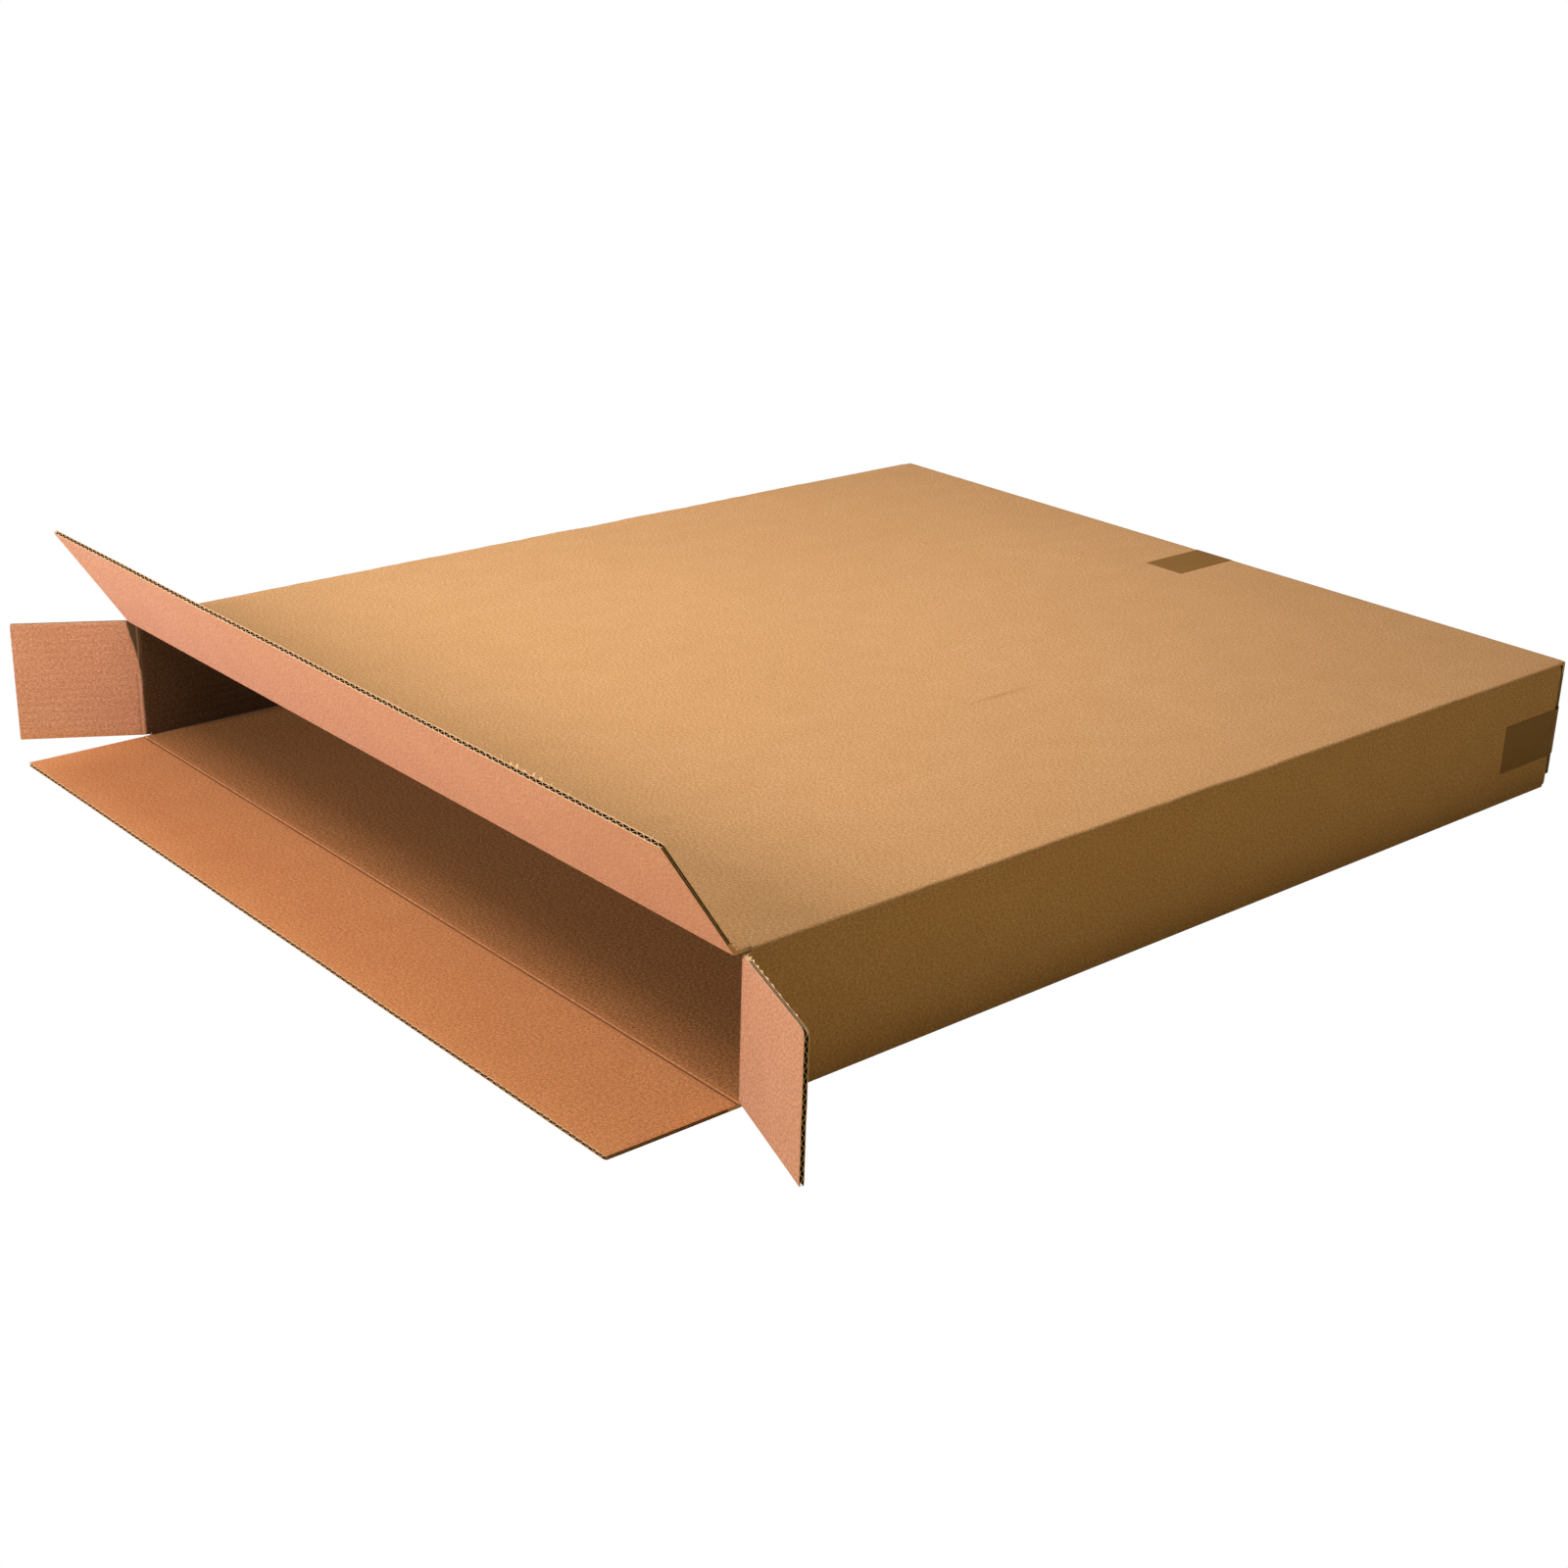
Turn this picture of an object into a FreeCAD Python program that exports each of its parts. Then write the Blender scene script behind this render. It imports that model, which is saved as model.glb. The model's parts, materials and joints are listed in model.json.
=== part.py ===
"""A wide, shallow corrugated carton lying flat, its far end folded shut and taped, its near end open.

X runs along the open end, Y from the open end to the taped end, Z up. The origin is the middle of the
underside, on the floor. Each flap of the open end is drawn straight out from its crease, about the axis
that it turns on, and is then turned to the angle at which it rests.
"""
import FreeCAD, Part
import math
import os

import Sketcher

SHEET = "Sizes"
DRIVING_SIZES = (
    ("inside_width", 914, "between the side panels, 36 in"),
    ("inside_depth", 1016, "from the closed near flaps to the far flaps, 40 in"),
    ("inside_height", 120, "between the bottom and top panels"),
    ("board", 4.0, "thickness of the single-wall board"),
    ("liner_thickness", 0.45, "thickness of each facing of the board"),
    ("medium_thickness", 0.5, "thickness of the fluted sheet between the facings"),
    ("flute_pitch", 7.8, "from one flute to the next"),
    ("overlap_margin", 10, "from a closed top flap's cut edge to the underside"),
    ("crush_width", 8, "solid strip beside a crease, where the flutes are pressed shut"),
    ("slot_inset", 3, "from a side panel's outer face to the end of a top or bottom flap"),
    ("side_flap_clearance", 1, "from a side flap's end to the top or bottom panel"),
    ("layer_gap", 0.4, "air between flaps that are folded over each other"),
    ("axis_lift", 0.15, "from a panel's outer face to the line its flap turns about"),
    ("crease_gap", 0.1, "from that line to each mitred edge, along the board"),
    ("fold_radius", 3, "outside radius of a folded edge"),
    ("tab_width", 35, "glued tab, up from the underside"),
    ("tab_setback", 15, "from the open end's inner edge to the tab"),
    ("raw_edge_lift", 0.5, "from the floor to the cut edge that covers the tab's fold"),
    ("tape_width", 48, "width of the closing tape"),
    ("tape_thickness", 0.3, "thickness of the closing tape"),
    ("tape_seat", 0.05, "glue between the tape and the board"),
    ("tape_tail", 84, "length of tape past a folded edge"),
    ("tape_ramp", 1.2, "length over which one tape climbs over the other"),
    ("seam_height", 57, "from the floor to the middle of the tape along the closed end"),
    ("cross_offset", 24, "from the middle of the box to the middle of the tape across the closed end"),
    ("top_lift", 56.5, "angle of the top flap above straight out"),
    ("left_swing", 30, "angle of the left flap outward from straight out"),
    ("right_swing", 70, "angle of the right flap outward from straight out"),
)
SIZES = {name: value for name, value, meaning in DRIVING_SIZES}


class Size:
    """A length with the expression that binds it to the sheet and the value that it has now."""

    def __init__(self, text, value):
        self.text = text
        self.value = value

    @staticmethod
    def of(other):
        return other if isinstance(other, Size) else Size(str(other), other)

    def __add__(self, other):
        other = Size.of(other)
        return Size(f"({self.text} + {other.text})", self.value + other.value)

    def __sub__(self, other):
        other = Size.of(other)
        return Size(f"({self.text} - {other.text})", self.value - other.value)

    def __mul__(self, other):
        other = Size.of(other)
        return Size(f"({self.text} * {other.text})", self.value * other.value)

    def __truediv__(self, other):
        other = Size.of(other)
        return Size(f"({self.text} / {other.text})", self.value / other.value)

    def __neg__(self):
        return Size(f"(-{self.text})", -self.value)


def size(name):
    """The driving size of that name."""
    return Size(f"{SHEET}.{name}", SIZES[name])


ZERO = Size("0", 0)
board = size("board")
radius = size("fold_radius")
layer_gap = size("layer_gap")
seat = size("tape_seat")
tape = size("tape_thickness")

# The panels' faces
inner_x = size("inside_width") / 2
outer_x = inner_x + board
inner_top = board + size("inside_height")
outer_top = inner_top + board
flap_end_x = outer_x - size("slot_inset")
flap_depth = outer_top - size("overlap_margin")

# The open end: the side flaps close first, then the bottom flap, then the top flap
side_crease_y = -(size("inside_depth") / 2) - board
bottom_crease_y = side_crease_y - board - layer_gap
top_crease_y = bottom_crease_y - board - layer_gap
mitre_outer = size("axis_lift") + size("crease_gap")
mitre_inner = mitre_outer + board
front_y = side_crease_y + mitre_inner

# The taped end: the same order, from the inside out
far_y = size("inside_depth") / 2
side_far_y = far_y + board
bottom_inner_y = side_far_y + layer_gap
bottom_far_y = bottom_inner_y + board
top_inner_y = bottom_far_y + layer_gap
top_far_y = top_inner_y + board

side_flap_low = board + size("side_flap_clearance")
side_flap_high = inner_top - size("side_flap_clearance")
side_flap_width = side_flap_high - side_flap_low


def plane(body, role):
    """One of the body's own origin planes or axes."""
    return next(feature for feature in body.Origin.OriginFeatures if feature.Role == role)


def add_sketch(body, name, role, lift=ZERO):
    """A sketch on an origin plane of the body, moved along the plane's normal by lift."""
    sketch = body.newObject("Sketcher::SketchObject", name)
    sketch.AttachmentSupport = [(plane(body, role), "")]
    sketch.MapMode = "FlatFace"
    sketch.AttachmentOffset = FreeCAD.Placement(FreeCAD.Vector(0, 0, lift.value), FreeCAD.Rotation())
    sketch.setExpression("AttachmentOffset.Base.z", lift.text)
    return sketch


def angle_of(centre, point):
    """The direction from the centre to the point, in radians."""
    return math.atan2(point.y - centre.y, point.x - centre.x)


def draw_arc(sketch, start, end, bend):
    """Adds the quarter arc from start to end and returns its number and which of its ends is the start."""
    centre = FreeCAD.Vector(bend[0].value, bend[1].value, 0)
    first, last = angle_of(centre, start), angle_of(centre, end)
    turns_left = math.sin(last - first) > 0
    if not turns_left:
        first, last = last, first
    if last < first:
        last += 2 * math.pi
    circle = Part.Circle(centre, FreeCAD.Vector(0, 0, 1), bend[2].value)
    arc = sketch.addGeometry(Part.ArcOfCircle(circle, first, last))
    rule = sketch.addConstraint(Sketcher.Constraint("Radius", arc, bend[2].value))
    sketch.setExpression(f"Constraints[{rule}]", bend[2].text)
    return arc, 1 if turns_left else 2


def draw_outline(sketch, corners):
    """Draws a closed outline. A corner is (x, y), or (x, y, bend) where an arc leads to it.

    A bend is the arc's centre and radius: (x, y, radius).
    """
    points = [FreeCAD.Vector(corner[0].value, corner[1].value, 0) for corner in corners]
    edges = []
    for index, corner in enumerate(corners):
        start, end = points[index - 1], points[index]
        if len(corner) == 3:
            edges.append(draw_arc(sketch, start, end, corner[2]))
        else:
            edges.append((sketch.addGeometry(Part.LineSegment(start, end)), 1))
    for index, corner in enumerate(corners):
        edge, first_end = edges[index]
        following, next_first_end = edges[(index + 1) % len(edges)]
        last_end = 3 - first_end
        sketch.addConstraint(Sketcher.Constraint("Coincident", edge, last_end, following, next_first_end))
        for kind, place in (("DistanceX", corner[0]), ("DistanceY", corner[1])):
            rule = sketch.addConstraint(Sketcher.Constraint(kind, -1, 1, edge, last_end, place.value))
            sketch.setExpression(f"Constraints[{rule}]", place.text)


def extrude(body, kind, name, sketch, along, against=ZERO):
    """A Pad along the plane's normal, or a Pocket against it; the other way too where against is given."""
    feature = body.newObject(f"PartDesign::{kind}", name)
    feature.Profile = sketch
    feature.setExpression("Length", along.text)
    if against is not ZERO:
        feature.SideType = "Two sides"
        feature.setExpression("Length2", against.text)
    return feature


def fill_sheet(document):
    """Puts the driving sizes on the sheet, each with its name and meaning beside it."""
    sheet = document.addObject("Spreadsheet::Sheet", SHEET)
    for row, (name, value, meaning) in enumerate(DRIVING_SIZES, start=1):
        sheet.set(f"A{row}", name)
        sheet.set(f"B{row}", str(value))
        sheet.setAlias(f"B{row}", name)
        sheet.set(f"C{row}", meaning)


def mirrored(corners):
    """The same outline with left and right exchanged, its bends too."""
    swapped = []
    for corner in corners:
        bend = tuple([(-corner[2][0], corner[2][1], corner[2][2])] if len(corner) == 3 else [])
        swapped.append((-corner[0], corner[1]) + bend)
    return swapped


def add_tube(shell):
    """The four panels as one tube. The underside folds up into the glued tab inside the right panel,
    and the right panel's cut edge comes down beside that fold."""
    raw_edge = size("raw_edge_lift")
    section = add_sketch(shell, "tube_section", "XZ_Plane")
    draw_outline(section, [
        (-outer_x, radius),
        (-outer_x + radius, ZERO, (-outer_x + radius, radius, radius)),
        (inner_x - radius, ZERO),
        (inner_x, radius),
        (inner_x, raw_edge),
        (outer_x, raw_edge),
        (outer_x, outer_top - radius),
        (outer_x - radius, outer_top, (outer_x - radius, outer_top - radius, radius)),
        (-outer_x + radius, outer_top),
        (-outer_x, outer_top - radius, (-outer_x + radius, outer_top - radius, radius)),
    ])
    draw_outline(section, [(-inner_x, board), (-inner_x, inner_top), (inner_x, inner_top), (inner_x, board)])
    extrude(shell, "Pad", "tube", section, -front_y, far_y)


def add_open_end(shell):
    """Carries each panel on to its crease, where it ends in a mitre at its inner face."""
    crease = side_crease_y + mitre_outer
    side_end = [(inner_x, front_y), (outer_x, crease), (outer_x, front_y)]
    for name, outline in (("right_end", side_end), ("left_end", mirrored(side_end))):
        sketch = add_sketch(shell, f"{name}_outline", "XY_Plane", board)
        draw_outline(sketch, outline)
        extrude(shell, "Pad", name, sketch, size("inside_height"))
    ends = (
        ("bottom_end", bottom_crease_y, ZERO, board),
        ("top_end", top_crease_y, outer_top, inner_top),
    )
    for name, crease_y, outer_z, inner_z in ends:
        sketch = add_sketch(shell, f"{name}_outline", "YZ_Plane")
        draw_outline(sketch, [
            (front_y, outer_z),
            (crease_y + mitre_outer, outer_z),
            (crease_y + mitre_inner, inner_z),
            (front_y, inner_z),
        ])
        extrude(shell, "Pad", name, sketch, flap_end_x, flap_end_x)


def add_closed_end(shell):
    """Folds the far flaps in: the two side flaps, the bottom flap over them and the top flap over all."""
    side_flap = [
        (inner_x, far_y),
        (outer_x, far_y),
        (outer_x, side_far_y - radius),
        (outer_x - radius, side_far_y, (outer_x - radius, side_far_y - radius, radius)),
        (outer_x - flap_depth, side_far_y),
        (outer_x - flap_depth, far_y),
    ]
    for name, outline in (("far_right_flap", side_flap), ("far_left_flap", mirrored(side_flap))):
        sketch = add_sketch(shell, f"{name}_outline", "XY_Plane", side_flap_low)
        draw_outline(sketch, outline)
        extrude(shell, "Pad", name, sketch, side_flap_width)

    bottom_flap = add_sketch(shell, "far_bottom_flap_outline", "YZ_Plane")
    draw_outline(bottom_flap, [
        (far_y, board),
        (far_y, ZERO),
        (bottom_far_y - radius, ZERO),
        (bottom_far_y, radius, (bottom_far_y - radius, radius, radius)),
        (bottom_far_y, flap_depth),
        (bottom_inner_y, flap_depth),
        (bottom_inner_y, board),
    ])
    extrude(shell, "Pad", "far_bottom_flap", bottom_flap, flap_end_x, flap_end_x)

    top_flap = add_sketch(shell, "far_top_flap_outline", "YZ_Plane")
    draw_outline(top_flap, [
        (far_y, inner_top),
        (far_y, outer_top),
        (top_far_y - radius, outer_top),
        (top_far_y, outer_top - radius, (top_far_y - radius, outer_top - radius, radius)),
        (top_far_y, outer_top - flap_depth),
        (top_inner_y, outer_top - flap_depth),
        (top_inner_y, inner_top),
    ])
    extrude(shell, "Pad", "far_top_flap", top_flap, flap_end_x, flap_end_x)


def add_glued_tab(shell):
    """The tab that joins the sheet into a tube, up from the underside and glued to the right panel."""
    sketch = add_sketch(shell, "tab_outline", "XY_Plane", board)
    tab_start = front_y + size("tab_setback")
    draw_outline(sketch, [
        (inner_x - board, tab_start),
        (inner_x, tab_start),
        (inner_x, far_y - size("side_flap_clearance")),
        (inner_x - board, far_y - size("side_flap_clearance")),
    ])
    extrude(shell, "Pad", "glued_tab", sketch, size("tab_width") - board)


def press_in_tape(shell):
    """Sinks the board under the lower end of the cross tape, so that the underside stays flat."""
    bed = tape + seat
    half = size("tape_width") / 2 + seat
    tail = bottom_far_y - size("tape_tail") - seat
    sketch = add_sketch(shell, "tape_bed_outline", "YZ_Plane", size("cross_offset") + half)
    draw_outline(sketch, [
        (tail, -board),
        (tail, bed),
        (bottom_far_y - radius - seat, bed),
        (bottom_far_y, radius + seat),
        (bottom_far_y + board, radius + seat),
        (bottom_far_y + board, -board),
    ])
    extrude(shell, "Pocket", "tape_bed", sketch, half * 2)


def build_shell(document):
    """The four panels with the folded far end, one sheet of board."""
    shell = document.addObject("PartDesign::Body", "carton_shell")
    add_tube(shell)
    add_open_end(shell)
    add_closed_end(shell)
    add_glued_tab(shell)
    press_in_tape(shell)
    return shell


def flute_openings(length, outer, inner, across):
    """The two triangles that one flute leaves open at a cut edge, one against each facing.

    outer and inner are the board's faces and length its extent along the edge. across is true where
    the edge runs along the sketch's first direction.
    """
    liner, medium, pitch = size("liner_thickness"), size("medium_thickness"), size("flute_pitch")
    sign = 1 if outer.value > inner.value else -1
    start = -length / 2 + (length - pitch * flute_count(length).value) / 2
    near_outer, near_inner = outer - liner * sign, inner + liner * sign
    triangles = []
    for shift, base, tip in ((0.25, near_inner, near_outer), (0.75, near_outer, near_inner)):
        middle = start + pitch * shift
        toward_base = sign if base is near_inner else -sign
        half_base = pitch / 2 - medium
        apex = tip - medium * toward_base
        ring = [(middle - half_base, base), (middle + half_base, base), (middle, apex)]
        triangles.append(ring if across else [(v, u) for u, v in ring])
    return triangles


def flute_count(length):
    """How many whole flutes the cut edge shows, with a liner's width of board left at both ends."""
    pitch = size("flute_pitch")
    spare = size("medium_thickness") * 2
    text = f"floor({(length - spare).text} / {pitch.text})"
    return Size(text, math.floor((length - spare).value / pitch.value))


def build_flap(document, name, hinge, length, side, turn_axis, turn):
    """One flap of the open end, drawn straight out (-Y) from its hinge line at its body's origin.

    hinge is the hinge line's place as three sizes, and length the flap's extent along it from its
    middle. side is the outward direction: ("Z", 1) for the top, ("Z", -1) for the bottom and
    ("X", 1) or ("X", -1) for the right or left flap. turn is the rest angle about turn_axis.
    """
    axis_name, sign = side
    flat = axis_name == "Z"
    outer_face = -size("axis_lift") * sign
    inner_face = outer_face - board * sign

    flap = document.addObject("PartDesign::Body", name)
    profile = [
        (-mitre_outer, outer_face),
        (-flap_depth, outer_face),
        (-flap_depth, inner_face),
        (-mitre_inner, inner_face),
    ]
    sketch = add_sketch(flap, f"{name}_profile", "YZ_Plane" if flat else "XY_Plane")
    draw_outline(sketch, profile if flat else [(v, u) for u, v in profile])
    extrude(flap, "Pad", f"{name}_board", sketch, length / 2, length / 2)

    edge = add_sketch(flap, f"{name}_edge", "XZ_Plane", flap_depth)
    for triangle in flute_openings(length, outer_face, inner_face, flat):
        draw_outline(edge, triangle)
    flute = extrude(flap, "Pocket", f"{name}_flute", edge, flap_depth - mitre_inner - size("crush_width"))
    document.recompute()

    flutes = flap.newObject("PartDesign::LinearPattern", f"{name}_flutes")
    flutes.Originals = [flute]
    flutes.Direction = (plane(flap, "X_Axis" if flat else "Z_Axis"), [""])
    count = flute_count(length)
    flutes.setExpression("Length", (size("flute_pitch") * (count - 1)).text)
    flutes.setExpression("Occurrences", count.text)
    flap.Tip = flutes

    axis = FreeCAD.Vector(*turn_axis)
    place = FreeCAD.Vector(*(coordinate.value for coordinate in hinge))
    flap.Placement = FreeCAD.Placement(place, FreeCAD.Rotation(axis, turn.value))
    for direction, coordinate in zip("xyz", hinge):
        flap.setExpression(f"Placement.Base.{direction}", coordinate.text)
    if turn is not ZERO:
        flap.setExpression("Placement.Rotation.Angle", turn.text)
    return flap


def build_flaps(document):
    """The four flaps of the open end at the angles where they rest."""
    lift = size("axis_lift")
    long_edge = flap_end_x * 2
    middle_height = outer_top / 2
    across, upright = (1, 0, 0), (0, 0, 1)
    return [
        build_flap(document, "top_flap", (ZERO, top_crease_y, outer_top + lift), long_edge,
                   ("Z", 1), across, -size("top_lift")),
        build_flap(document, "bottom_flap", (ZERO, bottom_crease_y, -lift), long_edge,
                   ("Z", -1), across, ZERO),
        build_flap(document, "left_flap", (-outer_x - lift, side_crease_y, middle_height),
                   side_flap_width, ("X", -1), upright, -size("left_swing")),
        build_flap(document, "right_flap", (outer_x + lift, side_crease_y, middle_height),
                   side_flap_width, ("X", 1), upright, size("right_swing")),
    ]


def build_seam_tape(document):
    """The strip along the closed end, with a tail on each side panel."""
    strip = document.addObject("PartDesign::Body", "seam_tape")
    inner = [
        (outer_x + seat, side_far_y - size("tape_tail")),
        (outer_x + seat, side_far_y),
        (flap_end_x + seat, top_far_y + seat),
    ]
    outer = [
        (outer_x + seat + tape, side_far_y - size("tape_tail")),
        (outer_x + seat + tape, side_far_y),
        (flap_end_x + seat + tape, top_far_y + seat + tape),
    ]
    outline = inner + mirrored(inner)[::-1] + mirrored(outer) + outer[::-1]
    half = size("tape_width") / 2
    sketch = add_sketch(strip, "seam_tape_outline", "XY_Plane", size("seam_height") - half)
    draw_outline(sketch, outline)
    extrude(strip, "Pad", "seam_tape_strip", sketch, half * 2)
    return strip


def build_cross_tape(document):
    """The strip over the middle of the closed end, from the top panel round to the underside.
    It passes over the seam tape."""
    strip = document.addObject("PartDesign::Body", "cross_tape")
    half = size("tape_width") / 2
    face = top_far_y + seat
    over = face + tape + seat
    near, away = half + seat, half + size("tape_ramp")
    seam = size("seam_height")
    fold_y, fold_z = top_far_y - radius, outer_top - radius
    lower_y, lower_edge = bottom_far_y - radius, outer_top - flap_depth
    tail_top, tail_bottom = fold_y - size("tape_tail"), bottom_far_y - size("tape_tail")
    bend = (fold_y, fold_z)
    inner = [
        (tail_top, outer_top + seat),
        (fold_y, outer_top + seat),
        (face, fold_z, bend + (radius + seat,)),
        (face, seam + away),
        (over, seam + near),
        (over, seam - near),
        (face, seam - away),
        (face, lower_edge),
        (bottom_far_y + seat, radius),
        (lower_y, tape),
        (tail_bottom, tape),
    ]
    outer = [
        (tail_bottom, ZERO),
        (lower_y + tape / 2, ZERO),
        (bottom_far_y + seat + tape, radius - tape / 2),
        (face + tape, lower_edge - tape / 2),
        (face + tape, seam - away),
        (over + tape, seam - near),
        (over + tape, seam + near),
        (face + tape, seam + away),
        (face + tape, fold_z),
        (fold_y, outer_top + seat + tape, bend + (radius + seat + tape,)),
        (tail_top, outer_top + seat + tape),
    ]
    sketch = add_sketch(strip, "cross_tape_outline", "YZ_Plane", size("cross_offset") - half)
    draw_outline(sketch, inner + outer)
    extrude(strip, "Pad", "cross_tape_strip", sketch, half * 2)
    return strip


def check(document, pieces):
    """Stops where a feature failed or a piece is empty, invalid or not in one solid."""
    for feature in document.Objects:
        if "Invalid" in feature.State or "Error" in feature.State:
            raise RuntimeError(f"{feature.Name} failed: {feature.State}")
    for piece in pieces:
        if piece.Shape.isNull() or not piece.Shape.isValid() or len(piece.Shape.Solids) != 1:
            raise RuntimeError(f"{piece.Label} is not one valid solid")


def main():
    document = FreeCAD.newDocument("carton")
    fill_sheet(document)
    document.recompute()
    pieces = [build_shell(document)] + build_flaps(document)
    pieces += [build_seam_tape(document), build_cross_tape(document)]
    document.recompute()
    check(document, pieces)
    os.makedirs("parts", exist_ok=True)
    for piece in pieces:
        piece.Shape.exportStep(f"parts/{piece.Label}.step")
        box = piece.Shape.BoundBox
        print(f"{piece.Label}: {piece.Shape.Volume / 1000:.1f} cm3, {len(piece.Shape.Faces)} faces,",
              f"x {box.XMin:.1f} to {box.XMax:.1f}, y {box.YMin:.1f} to {box.YMax:.1f},",
              f"z {box.ZMin:.2f} to {box.ZMax:.1f}")


main()
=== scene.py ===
"""A wide, shallow corrugated carton that lies flat, taped shut at its far end and open at the near one.

The board is modelled as the real one is: two paper liners with a wavy medium between them, one sheet
folded into a tube, four far flaps folded in over each other and four near flaps that stand open at
their creases. All sizes in the classes below are millimetres. The meshes are in metres.
"""

import json
import logging
import math
from dataclasses import dataclass, field
from enum import IntEnum

import bpy
import numpy as np
from mathutils import Matrix, Vector


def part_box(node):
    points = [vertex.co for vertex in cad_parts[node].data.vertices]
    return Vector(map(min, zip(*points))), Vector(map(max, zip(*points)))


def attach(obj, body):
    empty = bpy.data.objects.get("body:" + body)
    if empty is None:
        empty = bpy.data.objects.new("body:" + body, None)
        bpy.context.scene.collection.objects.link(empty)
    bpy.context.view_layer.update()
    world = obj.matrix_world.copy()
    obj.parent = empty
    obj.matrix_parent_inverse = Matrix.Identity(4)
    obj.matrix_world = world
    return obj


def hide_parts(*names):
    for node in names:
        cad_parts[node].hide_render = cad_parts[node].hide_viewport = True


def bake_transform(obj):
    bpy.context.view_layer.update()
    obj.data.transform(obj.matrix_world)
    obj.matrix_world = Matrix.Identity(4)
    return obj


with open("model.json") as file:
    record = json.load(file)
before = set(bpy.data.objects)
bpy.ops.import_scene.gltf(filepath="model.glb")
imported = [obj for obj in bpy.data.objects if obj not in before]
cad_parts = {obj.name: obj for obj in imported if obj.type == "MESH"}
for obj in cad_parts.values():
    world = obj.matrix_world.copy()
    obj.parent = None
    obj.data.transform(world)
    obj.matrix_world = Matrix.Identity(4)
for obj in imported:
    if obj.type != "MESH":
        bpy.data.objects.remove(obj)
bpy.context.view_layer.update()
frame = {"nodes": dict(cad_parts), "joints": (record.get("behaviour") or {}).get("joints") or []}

MM = 0.001
WELD = 0.002
SHARP_ANGLE = math.radians(38)
BLANK = "blank"

log = logging.getLogger("carton")
Socket = bpy.types.NodeSocket


class Side(IntEnum):
    """Which surface of the board a face belongs to, in the order of a piece's material slots."""

    OUTER = 0
    INNER = 1
    CUT = 2
    MEDIUM = 3


def smoothstep(value: np.ndarray | float, low: float, high: float) -> np.ndarray:
    """A share that rises from 0 at low to 1 at high as 3t^2 - 2t^3.

    Args:
        value: The values to place between the two limits.
        low: Where the share is 0.
        high: Where the share is 1.

    Returns:
        The shares, an array of value's shape.
    """
    share = np.clip((np.asarray(value, float) - low) / (high - low), 0.0, 1.0)
    return share * share * (3.0 - 2.0 * share)


def ripple(place: np.ndarray, wavelength: float, seed: int) -> np.ndarray:
    """An uneven wave: the mean of five sines whose lengths and phases come from the seed.

    Args:
        place: Positions along the wave, in millimetres.
        wavelength: The middle one of the five lengths, in millimetres.
        seed: The seed of the lengths and phases.

    Returns:
        Heights between -1 and 1, an array of place's shape.
    """
    draw = np.random.default_rng(seed)
    lengths = wavelength * np.geomspace(0.45, 2.2, 5) * draw.uniform(0.85, 1.15, 5)
    phases = draw.uniform(0.0, 2.0 * np.pi, 5)
    waves = np.sin(2.0 * np.pi * np.asarray(place, float)[..., None] / lengths + phases)
    return waves.mean(axis=-1)


def read_line(wanted: np.ndarray | float, places: np.ndarray, line: np.ndarray) -> np.ndarray:
    """Points of a line at other places along it, by linear interpolation of each coordinate.

    Args:
        wanted: The places to read at.
        places: The places of the line's points, in rising order.
        line: The line's points, one row each.

    Returns:
        The points, of wanted's shape with one more axis.
    """
    return np.stack([np.interp(wanted, places, line[:, axis]) for axis in range(line.shape[1])], axis=-1)


def lengths(line: np.ndarray) -> np.ndarray:
    """How far each point of a line is from its first one, along the line."""
    return np.concatenate([[0.0], np.cumsum(np.linalg.norm(np.diff(line, axis=0), axis=1))])


def headings(start: np.ndarray, end: np.ndarray) -> tuple[np.ndarray, np.ndarray]:
    """The direction from one section point to another, and the one square to it, out of the sheet."""
    onward = (end - start) / np.linalg.norm(end - start)
    return onward, np.array([-onward[1], onward[0]])


@dataclass(frozen=True)
class Board:
    """Single-wall corrugated board."""

    thickness: float = 4.0
    liner: float = 0.6
    medium: float = 0.5
    pitch: float = 7.8
    crush: float = 9.0
    fold_radius: float = 3.0
    inner_radius: float = 1.0


BOARD = Board()


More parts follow.
